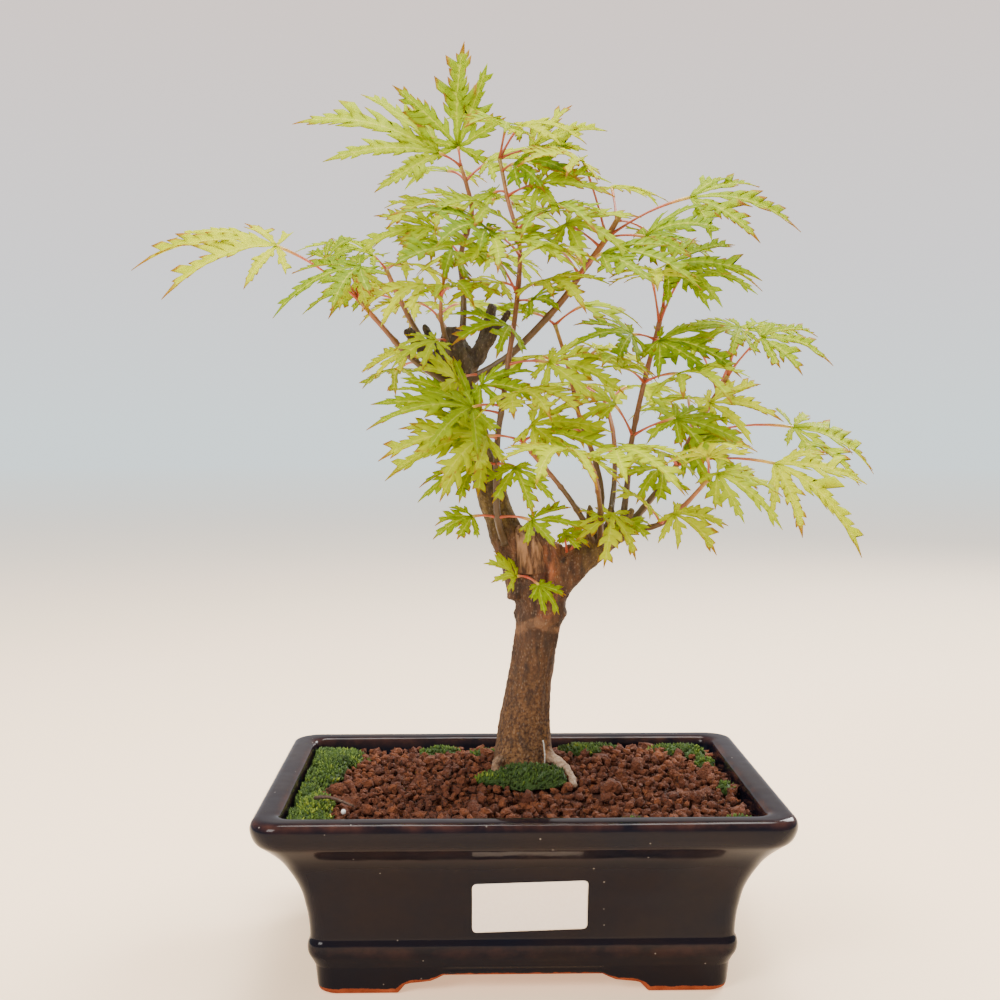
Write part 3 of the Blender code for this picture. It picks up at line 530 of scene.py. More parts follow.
# no loose grains lie here: under the moss, and on a worn spot at the back wall
BARE_SPOTS = list(MOSS_TUFTS.values()) + [(-38, 48, 12, 5)]
CELL = 6 * MM
placed_grains = []
cells = {}
for attempt in range(GRAIN_TRIES):
    lower = attempt < GRAIN_TRIES * 0.55
    size = (rng.uniform(2.2, 4.4) if lower else min(7.5, 2.2 + rng.expovariate(0.75))) * MM
    x = rng.uniform(SOIL_LOW.x + 1 * MM, SOIL_HIGH.x - 1 * MM)
    y = rng.uniform(SOIL_LOW.y + 1 * MM, SOIL_HIGH.y - 1 * MM)
    ground = top_of(bed_top, x, y)
    if ground is None:
        continue
    cover = [spot for spot in (top_of(tree, x, y) for tree in covers) if spot]
    if cover and not lower:
        continue
    if any(((x / MM - a) / reach_x) ** 2 + ((y / MM - b) / reach_y) ** 2 < 0.85
           for a, b, reach_x, reach_y in BARE_SPOTS):
        continue
    column, row = int(x // CELL), int(y // CELL)
    near = [other for i in (-1, 0, 1) for j in (-1, 0, 1)
            for other in cells.get((column + i, row + j), [])]
    packing = 0.36 if lower else 0.43
    if any((x - a) ** 2 + (y - b) ** 2 < (packing * (size + other)) ** 2
           for a, b, other, level in near if level == lower):
        continue
    cells.setdefault((column, row), []).append((x, y, size, lower))
    rise = -1.6 * MM if lower else rng.uniform(-0.6, 1.6) * MM
    placed_grains.append((x, y, ground.z + rise, size, rng.choice(shapes), turned(rng),
                          0.2 + 0.6 * rng.random() ** 1.2))
BEDS = 4
for part in range(BEDS):
    bm = bmesh.new()
    bm.verts.layers.float.new("tint")
    for x, y, z, size, shape, turn, tint_value in placed_grains[part::BEDS]:
        scatter(bm, shape, Matrix.Translation((x, y, z)) @ turn @ Matrix.Scale(size, 4), tint_value)
    piece_from(bm, f"clay_grains_{part + 1}", [grain_clay])


# The moss: cushions of short, dense shoots that creep over the soil at the walls and at
# the trunk's foot. Each cushion is a lumpy mat with hundreds of pointed tufts on it.

moss_green, tree, surface, here = finish("moss_green", 0.75)
hue = graded(tree, marked(tree, "tint"), [
    (0, (0.016, 0.040, 0.003)), (0.35, (0.042, 0.082, 0.004)),
    (0.7, (0.115, 0.19, 0.007)), (1, (0.40, 0.46, 0.030))])
patch = patchy(tree, here, 130, 0.35, 0.65)
body = blended(tree, times(tree, patch, 0.45), hue, (0.020, 0.075, 0.006))
painted(tree, surface, body)
bumped(tree, surface, gritty(tree, here, 1400), 0.4 * MM)

tuft = bmesh.new()
bmesh.ops.create_cone(tuft, cap_ends=True, segments=5, radius1=0.42, radius2=0.05, depth=1.0)
bmesh.ops.translate(tuft, verts=tuft.verts, vec=(0, 0, 0.35))
tuft_shape = bpy.data.meshes.new("tuft")
tuft.to_mesh(tuft_shape)
tuft.free()

# how light each cushion is
MOSS_LIGHT = {"moss_left_back": 0.0, "moss_left_front": 0.22, "moss_trunk_foot": -0.12}


def moss_piece(mat, name, low, high, spacing, light, stands_for=()):
    """A mat as a finished piece, its top covered with tufts that lean every way."""
    top = tree_of(mat)
    mat = mat.copy()
    tint = mat.verts.layers.float.new("tint")
    for vert in mat.verts:
        vert[tint] = 0.18
    count = int((high.x - low.x) * (high.y - low.y) / spacing ** 2)
    for _ in range(count):
        x = rng.uniform(low.x, high.x)
        y = rng.uniform(low.y, high.y)
        spot, normal = top.ray_cast(Vector((x, y, POT_HEIGHT + 20 * MM)), -UP)[:2]
        if spot is None:
            continue
        lean = Vector((rng.gauss(0, 0.45), rng.gauss(0, 0.45), 1)) + normal
        turn = lean.to_track_quat("Z", "Y").to_matrix().to_4x4()
        size = rng.uniform(0.9, 1.9) * MM
        bright = 0.42 + light + rng.gauss(0, 0.17) + 0.25 * noise.noise(spot * 180)
        scatter(mat, tuft_shape, Matrix.Translation(spot) @ turn @ Matrix.Scale(size, 4),
                max(0, min(1, bright)))
    piece_from(mat, name + "_tufts", [moss_green], stands_for)


rng = random.Random(21)
for name in MOSS_PADS:
    mat = moss_mat(name)
    bmesh.ops.subdivide_edges(mat, edges=mat.edges[:], cuts=2, use_grid_fill=True)
    mat.normal_update()
    for vert in mat.verts:
        lumps = 0.5 * noise.noise(vert.co * 300) + 0.4 * noise.noise(vert.co * 900)
        vert.co += vert.normal * lumps * MM
    moss_piece(mat, name, *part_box(name), 0.95 * MM, MOSS_LIGHT.get(name, 0.0), [name])
for name, (x, y, reach_x, reach_y) in MOSS_TUFTS.items():
    mat = bmesh.new()
    bmesh.ops.create_uvsphere(mat, u_segments=20, v_segments=10, radius=1)
    base = top_of(bed_top, x * MM, y * MM)
    for vert in mat.verts:
        wave = 1 + 0.3 * noise.noise(vert.co * 2 + base * 90)
        vert.co = base + Vector((vert.co.x * reach_x * wave, vert.co.y * reach_y * wave,
                                 vert.co.z * 2.2 + 0.6)) * MM
        vert.co.x = max(SOIL_LOW.x, min(SOIL_HIGH.x, vert.co.x))
        vert.co.y = max(SOIL_LOW.y, min(SOIL_HIGH.y, vert.co.y))
    reach = Vector((reach_x, reach_y, 0)) * 1.2 * MM
    moss_piece(mat, name, base - reach, base + reach, 0.9 * MM, 0.05)


# The wood: one trunk that forks low down into two limbs, each cut back to a head of short
# stubs. The bark is grey-brown with pale flecks, warmer and grainier towards the soil,
# and torn open to orange wood at the fork. The limbs above it are younger and olive.

FORK = Vector((8, 3, 143)) * MM
HEAD = Vector((-22, 7, 217)) * MM
SPLIT = Vector((10.5, -5.5, 136)) * MM
PALE_SCAR = Vector((6, -6, 101)) * MM
YOUNG_FROM = Vector((5, 4, 134)) * MM
# heights: the old cut's ring, the slight bow to the right, and the roots' upper end
RING_HEIGHT = 120 * MM
BOW_HEIGHT = 100 * MM
ROOT_TOP = 76 * MM
BARK_LEVELS = 3


bark, tree, surface, here = finish("bark", 0.78)
_, along_y, height_up = put(tree, "ShaderNodeSeparateXYZ", {0: here}).outputs
long_grain = put(tree, "ShaderNodeMapping", {"Vector": here, "Scale": (1.0, 1.0, 0.3)}).outputs[0]
tall = put(tree, "ShaderNodeMapping", {"Vector": here, "Scale": (1.0, 1.0, 0.55)}).outputs[0]


def bark_near(place, reach, soft, squash=1.0, depth=1.0):
    """A mask round a place, ragged at its edge; less squash makes it taller, less depth deeper."""
    off = put(tree, "ShaderNodeVectorMath", {0: here, 1: place}, operation="SUBTRACT").outputs[0]
    off = put(tree, "ShaderNodeVectorMath", {0: off, 1: (1, depth, squash)},
              operation="MULTIPLY").outputs[0]
    away = put(tree, "ShaderNodeVectorMath", {0: off}, operation="LENGTH").outputs["Value"]
    ragged = worked(tree, "ADD", away, times(tree, patchy(tree, here, 120, 0.2, 0.8), soft))
    return stretched(tree, ragged, reach + soft, reach, 0.0, 1.0)


low_bark = blended(tree, patchy(tree, here, 900, 0.38, 0.62),
                   (0.045, 0.016, 0.005), (0.24, 0.112, 0.038))
old_bark = blended(tree, patchy(tree, long_grain, 330, 0.38, 0.62),
                   (0.022, 0.008, 0.003), (0.100, 0.041, 0.015))
wave = times(tree, patchy(tree, here, 60, 0.2, 0.8), 0.03)
climb = stretched(tree, worked(tree, "ADD", height_up, wave), 0.086, 0.128)
body = blended(tree, climb, low_bark, old_bark)
scar = times(tree, bark_near(FORK, 0.012, 0.012), patchy(tree, long_grain, 190, 0.42, 0.6))
body = blended(tree, times(tree, scar, 0.6), body, (0.26, 0.100, 0.035))
front = stretched(tree, along_y, 0.004, 0.0)
split = times(tree, front, bark_near(SPLIT, 0.0030, 0.004, 0.3, 0.0))
split_grain = patchy(tree, long_grain, 420, 0.4, 0.6)
split_wood = blended(tree, split_grain, (0.085, 0.022, 0.008), (0.36, 0.105, 0.035))
body = blended(tree, split, body, split_wood)
# painted shade: the near-black core of the split stands in for the shade deep in the crack
split_painted_shade = times(tree, front, bark_near(SPLIT, 0.0006, 0.0016, 0.16, 0.0))
body = blended(tree, split_painted_shade, body, (0.018, 0.005, 0.003))
off_ring = worked(tree, "SUBTRACT", worked(tree, "ADD", height_up, times(tree, wave, 0.3)),
                  RING_HEIGHT + 1.5 * MM)
ring = stretched(tree, worked(tree, "ABSOLUTE", off_ring), 0.0022, 0.0006)
body = blended(tree, times(tree, ring, 0.5), body, (0.33, 0.16, 0.075))
pale_scar = bark_near(PALE_SCAR, 0.0012, 0.0012)
body = blended(tree, times(tree, pale_scar, 0.75), body, (0.36, 0.27, 0.19))
off_fork = put(tree, "ShaderNodeVectorMath", {0: here, 1: YOUNG_FROM},
               operation="DISTANCE").outputs["Value"]
young = times(tree, stretched(tree, off_fork, 0.018, 0.027),
              stretched(tree, height_up, 0.128, 0.134))
olive = blended(tree, patchy(tree, here, 420, 0.4, 0.62),
                (0.060, 0.036, 0.007), (0.155, 0.100, 0.022))
body = blended(tree, young, body, olive)
head = times(tree, bark_near(HEAD, 0.013, 0.008), patchy(tree, long_grain, 230, 0.3, 0.6))
body = blended(tree, head, body, (0.30, 0.225, 0.155))
dark = stretched(tree, worked(tree, "ADD", height_up, wave), 0.221, 0.230)
body = blended(tree, times(tree, dark, 0.8), body, (0.028, 0.017, 0.011))
flecks = speckled(tree, tall, 1150, 0.42, 0.8)
clumps = patchy(tree, long_grain, 150, 0.30, 0.55)
body = blended(tree, times(tree, times(tree, flecks, clumps), 0.5), body, (0.34, 0.25, 0.17))
pits = speckled(tree, tall, 520, 0.25, 0.25)
body = blended(tree, times(tree, pits, 0.7), body, (0.018, 0.009, 0.006))
cracks = patchy(tree, long_grain, 520, 0.62, 0.48)
body = blended(tree, times(tree, worked(tree, "SUBTRACT", 1.0, cracks), 0.55), body,
               (0.022, 0.012, 0.008))
root_tan = blended(tree, patchy(tree, here, 600), (0.27, 0.17, 0.11), (0.52, 0.38, 0.27))
body = blended(tree, times(tree, marked(tree, "root"), 0.85), body, root_tan)
painted(tree, surface, body)
relief = worked(tree, "ADD", gritty(tree, long_grain, 420),
                times(tree, gritty(tree, here, 1300), 0.4))
bumped(tree, surface, relief, 0.8 * MM, 0.9)

trunk = piece_from(node_copy("trunk"), "forked_trunk", [bark], ["trunk"])
rounding = trunk.modifiers.new("rounding", "SUBSURF")
rounding.levels = rounding.render_levels = BARK_LEVELS


def bow_at(height):
    return math.exp(-((height - BOW_HEIGHT) / (15 * MM)) ** 2)


bpy.context.view_layer.update()
rounded = trunk.evaluated_get(bpy.context.evaluated_depsgraph_get())
trunk_mesh = bpy.data.meshes.new_from_object(rounded)
trunk.modifiers.clear()
trunk.data = trunk_mesh
bm = bmesh.new()
bm.from_mesh(trunk_mesh)
bm.normal_update()
root = bm.verts.layers.float.new("root")
for vert in bm.verts:
    spot = vert.co
    ridges = noise.noise(Vector((spot.x * 210, spot.y * 210, spot.z * 45)))
    knobs = noise.noise(spot * 130) * math.exp(-((spot - FORK).length / (15 * MM)) ** 2)
    splits = noise.noise(Vector((spot.x * 420, spot.y * 420, spot.z * 60)))
    torn = math.exp(-((spot - HEAD).length / (13 * MM)) ** 2)
    from_split = ((spot.x - SPLIT.x) ** 2 + ((spot.z - SPLIT.z) * 0.22) ** 2) ** 0.5
    crack = max(0.0, 1 - from_split / (2.4 * MM)) if spot.y < 2 * MM else 0.0
    ring = math.exp(-((spot.z - RING_HEIGHT - 4 * MM * noise.noise(spot * 90)) / (2 * MM)) ** 2)
    pull = (0.6 * ridges + 3.2 * knobs + (0.45 + 1.0 * torn) * splits + 0.25 * noise.noise(spot * 900)
            - 2.6 * crack + 0.8 * ring)
    vert.co = spot + vert.normal * (pull + 0.3 * bow_at(spot.z)) * MM
    vert.co.x += 1.1 * bow_at(spot.z) * MM
    side = Vector((spot.x - 2 * MM, spot.y - 8 * MM)).length
    strength = (1 if spot.x > 0 else 0.35) * (spot.z < ROOT_TOP)
    vert[root] = max(0.0, min(1.0, (side / MM - 11.5) / 2)) * strength
bm.to_mesh(trunk_mesh)
bm.free()
trunk_mesh.shade_smooth()


def tube_rings(path, radii, sides):
    """Rings of places round a path, which turn with it."""
    rings = []
    side = (path[1] - path[0]).orthogonal().normalized()
    for index, (spot, radius) in enumerate(zip(path, radii)):
        ahead = (path[min(index + 1, len(path) - 1)] - path[max(index - 1, 0)]).normalized()
        side = (side - ahead * side.dot(ahead)).normalized()
        other = ahead.cross(side)
        rings.append([spot + radius * (math.cos(a) * side + math.sin(a) * other)
                      for a in (2 * math.pi * n / sides for n in range(sides))])
    return rings


def tube(bm, path, radii, sides, ages):
    draw_out(bm, tube_rings(path, radii, sides), {"age": ages})


# the broken stump between the limbs, with a ragged top: each ring's middle and radius, in mm
rng = random.Random(31)
bm = bmesh.new()
STUMP = [(5, 0, 138, 5.2), (4.2, 0, 146, 4.8), (3.2, 0, 151, 4.3), (2.6, 0, 154, 3.6)]
STUMP_SIDES = 22
rings = tube_rings([Vector(row[:3]) * MM for row in STUMP], [row[3] * MM for row in STUMP],
                   STUMP_SIDES)
hollow = sum(rings[-1], Vector()) / STUMP_SIDES
rings.append([spot.lerp(hollow, 0.35) - UP * 1.2 * MM for spot in rings[-1]])
for level, ring in enumerate(rings):
    for spot in ring:
        spot += UP * rng.uniform(-2.2, 2.6) * MM * (level >= 3)
        spot += 0.9 * MM * noise.noise_vector(Vector((spot.x * 420, spot.y * 420, spot.z * 110)))
draw_out(bm, rings, {})
bmesh.ops.recalc_face_normals(bm, faces=bm.faces)
stump_wood, tree, surface, here = finish("stump_wood", 0.85)
fibres = put(tree, "ShaderNodeMapping", {"Vector": here, "Scale": (1.0, 1.0, 0.22)}).outputs[0]
strands = patchy(tree, fibres, 620, 0.4, 0.6)
body = blended(tree, strands, (0.050, 0.020, 0.009), (0.27, 0.135, 0.062))
stump_height = put(tree, "ShaderNodeSeparateXYZ", {0: here}).outputs[2]
top_pale = times(tree, stretched(tree, stump_height, 0.146, 0.155), strands)
body = blended(tree, times(tree, top_pale, 0.7), body, (0.46, 0.29, 0.17))
painted(tree, surface, body)
bumped(tree, surface, gritty(tree, fibres, 700), 0.7 * MM, 0.9)
piece_from(bm, "broken_stump", [stump_wood])


# a silver rootlet and a root's tip at the trunk's foot, and a dead twig and a bead by the moss:
# the way each one runs, its radius in mm and its colour
ROOTLETS = {
    "silver_rootlet": ([(9, -1, 76), (9.5, -4, 71), (9.2, -6, 66), (10, -7, 62)],
                       0.3, (0.62, 0.58, 0.52)),
    "dead_twig": ([(-71, -36, 64.5), (-66, -39, 65.5), (-61, -43, 65), (-57, -45, 64)],
                  0.7, (0.10, 0.052, 0.032)),
    "left_root_tip": ([(-7, -9, 66.5), (-2, -12, 67.5), (3, -14, 65.5), (4, -15, 62)],
                      1.2, (0.21, 0.10, 0.06)),
}
for name, (route, radius, colour) in ROOTLETS.items():
    skin, tree, surface, here = finish(name + "_skin", 0.7)
    shade = patchy(tree, here, 800, 0.35, 0.65)
    painted(tree, surface, blended(tree, shade, [part * 0.45 for part in colour], colour))
    bumped(tree, surface, gritty(tree, here, 1500), 0.2 * MM)
    bm = bmesh.new()
    path = [row * MM for row in smooth(route, 4)]
    radii = [radius * MM * (1 - 0.5 * n / len(path)) for n in range(len(path))]
    tube(bm, path, radii, 7, [0.0] * len(path))
    bmesh.ops.recalc_face_normals(bm, faces=bm.faces)
    piece_from(bm, name, [skin])

bead_white, tree, surface, here = finish("bead_white", 0.45)
painted(tree, surface, blended(tree, patchy(tree, here, 900),
                               (0.62, 0.62, 0.60), (0.85, 0.85, 0.83)))
bm = bmesh.new()
bmesh.ops.create_uvsphere(bm, u_segments=14, v_segments=10, radius=0.9 * MM)
for vert in bm.verts:
    vert.co *= 1 + 0.08 * noise.noise(vert.co * 1500)
bmesh.ops.translate(bm, verts=bm.verts, vec=(-60 * MM, -50 * MM, 63.5 * MM))
piece_from(bm, "fertiliser_bead", [bead_white])


# The shoots: last year's thin stems, olive-brown at the wood and red towards the leaves,
# a little swollen at each pair of leaves. Each starts inside the bark.

# the places each one passes, and its radius at the foot and at the tip, in mm
SHOOTS = {
    "shoot_left_low": ([(-27, 4, 208), (-39, 1, 216), (-50, -4, 228), (-57, -8, 236)], 1.3, 0.9),
    "shoot_left_high": ([(-27, 12, 210), (-37, 16, 226), (-44, 18, 239), (-49, 20, 250)], 1.3, 0.9),
    "shoot_left_twig": ([(-25, 4, 218), (-28, -3, 229), (-28, -7, 238)], 0.9, 0.7),
    "shoot_apex": ([(-21, 12, 218), (-20, 17, 238), (-21, 17, 255), (-17, 15, 270),
                    (-19, 13, 281), (-21, 12, 287)], 1.3, 0.8),
    "shoot_centre": ([(-5, 2, 149), (-8, -5, 160), (-8, -8, 185), (-6, -9, 200), (-4, -9, 215),
                      (-1, -8, 236), (0, -6, 256), (-4, -4, 272), (-7, -3, 287)], 1.4, 0.8),
    "shoot_oblique": ([(-18, 4, 208), (-6, -1, 215), (3, -3, 223), (15, -6, 236), (22, -8, 246),
                       (30, -10, 257), (36, -11, 267)], 1.6, 1.1),
    "shoot_right_inner": ([(30, 6, 152), (31, 9, 168), (28, 11, 181), (23, 12, 195),
                           (19, 13, 213), (14, 13, 229)], 1.3, 0.8),
    "shoot_right_low": ([(28, 0, 150), (19, -7, 164), (12, -10, 173), (5, -12, 181),
                         (1, -14, 186)], 1.1, 0.8),
    "shoot_right_tall": ([(38, 3, 153), (40, 3, 170), (41, 1, 184), (45, -1, 205),
                          (50, -3, 226), (52, -3, 234)], 1.3, 0.9),
    "shoot_right_long": ([(40, 3, 154), (48, 6, 163), (59, 8, 177), (66, 10, 190),
                          (75, 10, 205), (78, 10, 210)], 1.4, 0.9),
    "shoot_right_outer": ([(39, -1, 153), (50, -9, 156), (57, -15, 162), (66, -21, 173)], 1.2, 0.8),
    "shoot_back_left": ([(-23, 13, 214), (-26, 26, 226), (-30, 38, 234)], 1.2, 0.9),
    "shoot_back_right": ([(33, 6, 151), (37, 20, 170), (38, 32, 187), (36, 41, 200)], 1.2, 0.9),
    "shoot_front": ([(30, -2, 149), (28, -18, 163), (25, -32, 174), (22, -42, 180)], 1.1, 0.8),
}

shoot_bark, tree, surface, here = finish("shoot_bark", 0.42)
age = graded(tree, marked(tree, "age"), [
    (0, (0.060, 0.036, 0.016)), (0.35, (0.115, 0.060, 0.022)), (0.7, (0.26, 0.085, 0.030)),
    (0.9, (0.36, 0.13, 0.04)), (1, (0.36, 0.26, 0.045))])
streak = patchy(tree, here, 330, 0.4, 0.65)
body = blended(tree, times(tree, streak, 0.4), age, (0.040, 0.026, 0.012))
dots = speckled(tree, here, 800, 0.2, 0.25)
body = blended(tree, times(tree, dots, 0.4), body, (0.35, 0.27, 0.17))
painted(tree, surface, body)
bumped(tree, surface, gritty(tree, here, 900), 0.15 * MM, 0.6)

shoot_paths = {}
for name, (route, base, tip) in SHOOTS.items():
    path = [row * MM for row in smooth(route, 10)]
    shoot_paths[name] = path
    shares = [n / (len(path) - 1) for n in range(len(path))]
    radii = [((base + (tip - base) * t) * 0.92 + 0.9 * math.exp(-t * len(path) / 3)
              + 0.25 * max(0, math.cos(t * len(route) * 2 * math.pi)) ** 12) * MM for t in shares]
    foot = path[0] - (path[1] - path[0]).normalized() * 3 * MM
    bm = bmesh.new()
    tube(bm, [foot] + path, [radii[0] * 0.4] + radii, 10, [0.0] + shares)
    bmesh.ops.recalc_face_normals(bm, faces=bm.faces)
    piece_from(bm, name + "_stem", [shoot_bark], [name])


# The leaves: opposite pairs on thin red stalks. A blade has five to seven long lobes that
# meet at the stalk, and each lobe is cut again into forward-pointing toothed lobelets.
# The young leaves are lime green with paler midribs and burnt, reddish tips.

BLADE_ARCH = 0.10
SIDE_DROOP = 0.25
BLADE_THICKNESS = 0.22 * MM
# a lobe's direction in degrees, and its length as a share of the leaf's
LOBES = [(0, 1.0), (-34, 0.86), (34, 0.86), (-68, 0.60), (68, 0.60), (-108, 0.34), (108, 0.34)]


def mixed_out(tree, share, surface, other):
    """Two shaders mixed into the material's output."""
    mixed = put(tree, "ShaderNodeMixShader",
                {0: share, 1: surface.outputs[0], 2: other.outputs[0]})
    shown = next(node for node in tree.nodes if node.type == "OUTPUT_MATERIAL")
    tree.links.new(mixed.outputs[0], shown.inputs["Surface"])


def leaf_finish(name, colours, through, share):
    """A leaf's skin: veins, mottling and burnt tips from its own marks, with light through it."""
    made, tree, surface, here = finish(name, 0.55, 0.09)
    light, middle, deep, burnt = colours
    own = marked(tree, "tone")
    body = blended(tree, stretched(tree, own, 0.0, 0.55), deep, middle)
    body = blended(tree, stretched(tree, own, 0.45, 1.0), body, light)
    cloud = patchy(tree, here, 170, 0.35, 0.7)
    body = blended(tree, times(tree, cloud, 0.35), body, deep)
    fine = patchy(tree, here, 900, 0.35, 0.7)
    body = blended(tree, times(tree, fine, 0.22), body, light)
    rib = stretched(tree, marked(tree, "vein"), 0.78, 0.98)
    body = blended(tree, times(tree, rib, 0.7), body, (0.78, 0.76, 0.14))
    scorch = worked(tree, "ADD", marked(tree, "burn"),
                    times(tree, worked(tree, "SUBTRACT", cloud, 0.5), 0.5))
    body = blended(tree, stretched(tree, scorch, 0.50, 0.9, 0.0, 0.9), body, burnt)
    painted(tree, surface, body)
    height = worked(tree, "ADD", marked(tree, "vein"), times(tree, gritty(tree, here, 900), 0.35))
    bump = bumped(tree, surface, height, 0.25 * MM, 0.7)
    glow = put(tree, "ShaderNodeBsdfTranslucent",
               {"Normal": bump.outputs[0], "Color": blended(tree, 0.75, body, through)})
    mixed_out(tree, share, surface, glow)
    return made


LEAF_TOP = [(0.66, 0.70, 0.001), (0.40, 0.54, 0.001), (0.11, 0.24, 0.001), (0.36, 0.06, 0.02)]
LEAF_UNDER = [(0.60, 0.62, 0.015), (0.38, 0.48, 0.010), (0.16, 0.25, 0.008), (0.36, 0.09, 0.04)]
blade_top = leaf_finish("blade_top", LEAF_TOP, (0.76, 0.86, 0.004), 0.48)
blade_under = leaf_finish("blade_under", LEAF_UNDER, (0.76, 0.86, 0.004), 0.48)

stalk_red, tree, surface, here = finish("stalk_red", 0.4)
along = graded(tree, marked(tree, "age"), [
    (0, (0.42, 0.055, 0.028)), (0.7, (0.58, 0.13, 0.07)), (1, (0.62, 0.50, 0.06))])
mottle = times(tree, patchy(tree, here, 300), 0.35)
painted(tree, surface, blended(tree, mottle, along, (0.20, 0.09, 0.02)))
bumped(tree, surface, gritty(tree, here, 900), 0.08 * MM, 0.5)


def blade_frame(foot, tip, lean):
    """Along the blade, across it, and out of its face, which leans to the front."""
    heading = (tip - foot).normalized()
    face = Vector((0, -math.sin(math.radians(lean)), math.cos(math.radians(lean))))
    face = (face - heading * face.dot(heading)).normalized()
    return heading, face.cross(heading), face


def draw_lobe(bm, foot, length, axes, turn, reach, width, rng, tone):
    """One lobe, as a strip of grid shaped by its lobelets, with its marks."""
    heading, wide, face = axes
    ahead = math.cos(turn) * heading + math.sin(turn) * wide
    out = -math.sin(turn) * heading + math.cos(turn) * wide
    lobelets = max(4, min(9, round(reach / (3.9 * MM))))
    rows = 3 * lobelets + 4
    grid = bmesh.ops.create_grid(bm, x_segments=4, y_segments=rows - 1, size=1)["verts"]
    vein, burn, own = (bm.verts.layers.float[name] for name in ("vein", "burn", "tone"))
    sizes = {(side, k): rng.choice((0.55, 0.8, 1.0, 1.6)) * rng.uniform(0.85, 1.15)
             for side in (-1, 1) for k in range(lobelets + 2)}
    bend = rng.uniform(-0.16, 0.16)
    droop = rng.uniform(0.05, 0.26) * (1 - abs(ahead.z))
    fold = rng.uniform(0.10, 0.38)
    curl = rng.uniform(0.6, 2.2)
    phase = rng.uniform(0, 6.28)
    scorch = rng.uniform(0.45, 1.45)
    for index, vert in enumerate(grid):
        row, column = divmod(index, 5)
        column -= 2
        side = 1 if column > 0 else -1
        part = abs(column) / 2
        k, kind = divmod(row, 3)
        base_t = 0.07 + 0.80 * k / lobelets
        body_share = min(1.0, base_t / 0.38) ** 0.75
        body_share *= min(1.0, (1 - min(1.0, base_t)) / 0.62) ** 0.8
        big = width * body_share * sizes[side, k]
        t = base_t + 0.80 / lobelets * (0, 0.45, 0.72)[kind]
        half = (0.40 * width * body_share + 0.3 * MM, 0.92 * big + 0.1 * MM, big + 0.1 * MM)[kind]
        shift = (0.0, 0.35, 0.85)[kind] * big
        if row == 0:
            t, half, shift = 0.0, 0.45 * MM, 0.0
        elif row >= rows - 4:
            left = rows - 1 - row
            t, half, shift = 1 - 0.045 * left, 0.075 * width * left + 0.02 * MM, 0.0
            kind = 1
        across = half * part
        forward = t * reach + shift * part ** 1.25
        flat = ahead * forward + out * side * across + out * bend * reach * t * t
        share = max(0.0, min(1.0, flat.dot(heading) / length))
        aside = flat.dot(wide)
        rise = BLADE_ARCH * length * 4 * share * (1 - share) - SIDE_DROOP * aside * aside / length
        rise += fold * across - curl * 0.10 * across * math.sin(forward / (3.2 * MM) + phase) * part
        rise += 0.25 * MM * math.sin(turn * 3)
        vert.co = foot + flat + face * rise - UP * (droop * reach * t ** 2.4)
        vert[vein] = 1.0 if column == 0 else (0.6 if kind == 2 and part < 1 else 0.0)
        edge_burn = (0.25, 0.62, 0.9)[kind] if part == 1 else 0.0
        vert[burn] = scorch * min(1.3, max(edge_burn * (0.6 + 0.8 * t), (t - 0.78) * 5.5))
        vert[own] = tone + rng.uniform(-0.06, 0.06) - 0.10 * part * (kind == 0)


def draw_leaf(bm, foot, tip, lean, rng):
    """A whole blade, its lobes given a thickness, with its underside's own skin."""
    length = (tip - foot).length
    axes = blade_frame(foot, tip, lean)
    tone = min(1.0, max(0.0, rng.gauss(0.5, 0.32)))
    faces_before = len(bm.faces)
    for turn, share in LOBES[:7 if rng.random() < 0.7 else 5]:
        turn = math.radians(turn + (rng.uniform(-7, 7) if turn else 0))
        reach = length * share * (rng.uniform(0.84, 1.08) if turn else 1)
        width = reach * rng.uniform(0.088, 0.112) + 0.7 * MM
        draw_lobe(bm, foot, length, axes, turn, reach, width, rng, tone)
    bm.faces.ensure_lookup_table()
    blade = bm.faces[faces_before:]
    for face in blade:
        face.normal_update()
        if face.normal.dot(axes[2]) < 0:
            face.normal_flip()
    bm.normal_update()
    bmesh.ops.solidify(bm, geom=blade, thickness=BLADE_THICKNESS)
    bm.faces.ensure_lookup_table()
    shell = bm.faces[faces_before:]
    bmesh.ops.recalc_face_normals(bm, faces=shell)
    for face in shell:
        face.material_index = 0 if face.normal.dot(axes[2]) > 0 else 1


def draw_stalk(bm, seat, foot):
    """A leaf's stalk, bowed up from its seat to the blade's foot."""
    reach = (foot - seat).length
    bow = (seat + foot) / 2 + UP * 0.12 * reach
    ages = [step / 8 for step in range(9)]
    path = [(1 - t) ** 2 * seat + 2 * t * (1 - t) * bow + t * t * foot for t in ages]
    radii = [(0.62 - 0.22 * math.sin(math.pi * min(1, t * 1.2)) + 0.15 * math.exp(-9 * t)) * MM
             for t in ages]
    start = len(bm.faces)
    draw_out(bm, tube_rings(path, radii, 7), {"age": ages})
    bm.faces.ensure_lookup_table()
    stalk = bm.faces[start:]
    bmesh.ops.recalc_face_normals(bm, faces=stalk)
    for face in stalk:
        face.material_index = 2


def leaf_piece(name, leaves, seat_of, stands_for=()):
    """One piece of leaves; each is its blade's foot and tip in mm, and its lean in degrees."""
    rng = random.Random(name)
    bm = bmesh.new()
    bm.verts.layers.int.new("place")
    for mark in ("vein", "burn", "tone", "age"):
        bm.verts.layers.float.new(mark)
    for foot, tip, lean in leaves:
        foot = Vector(foot) * MM
        tip = Vector(tip) * MM
        draw_stalk(bm, seat_of(foot), foot)
        draw_leaf(bm, foot, tip, lean, rng)
    piece_from(bm, name, [blade_top, blade_under, stalk_red], stands_for)


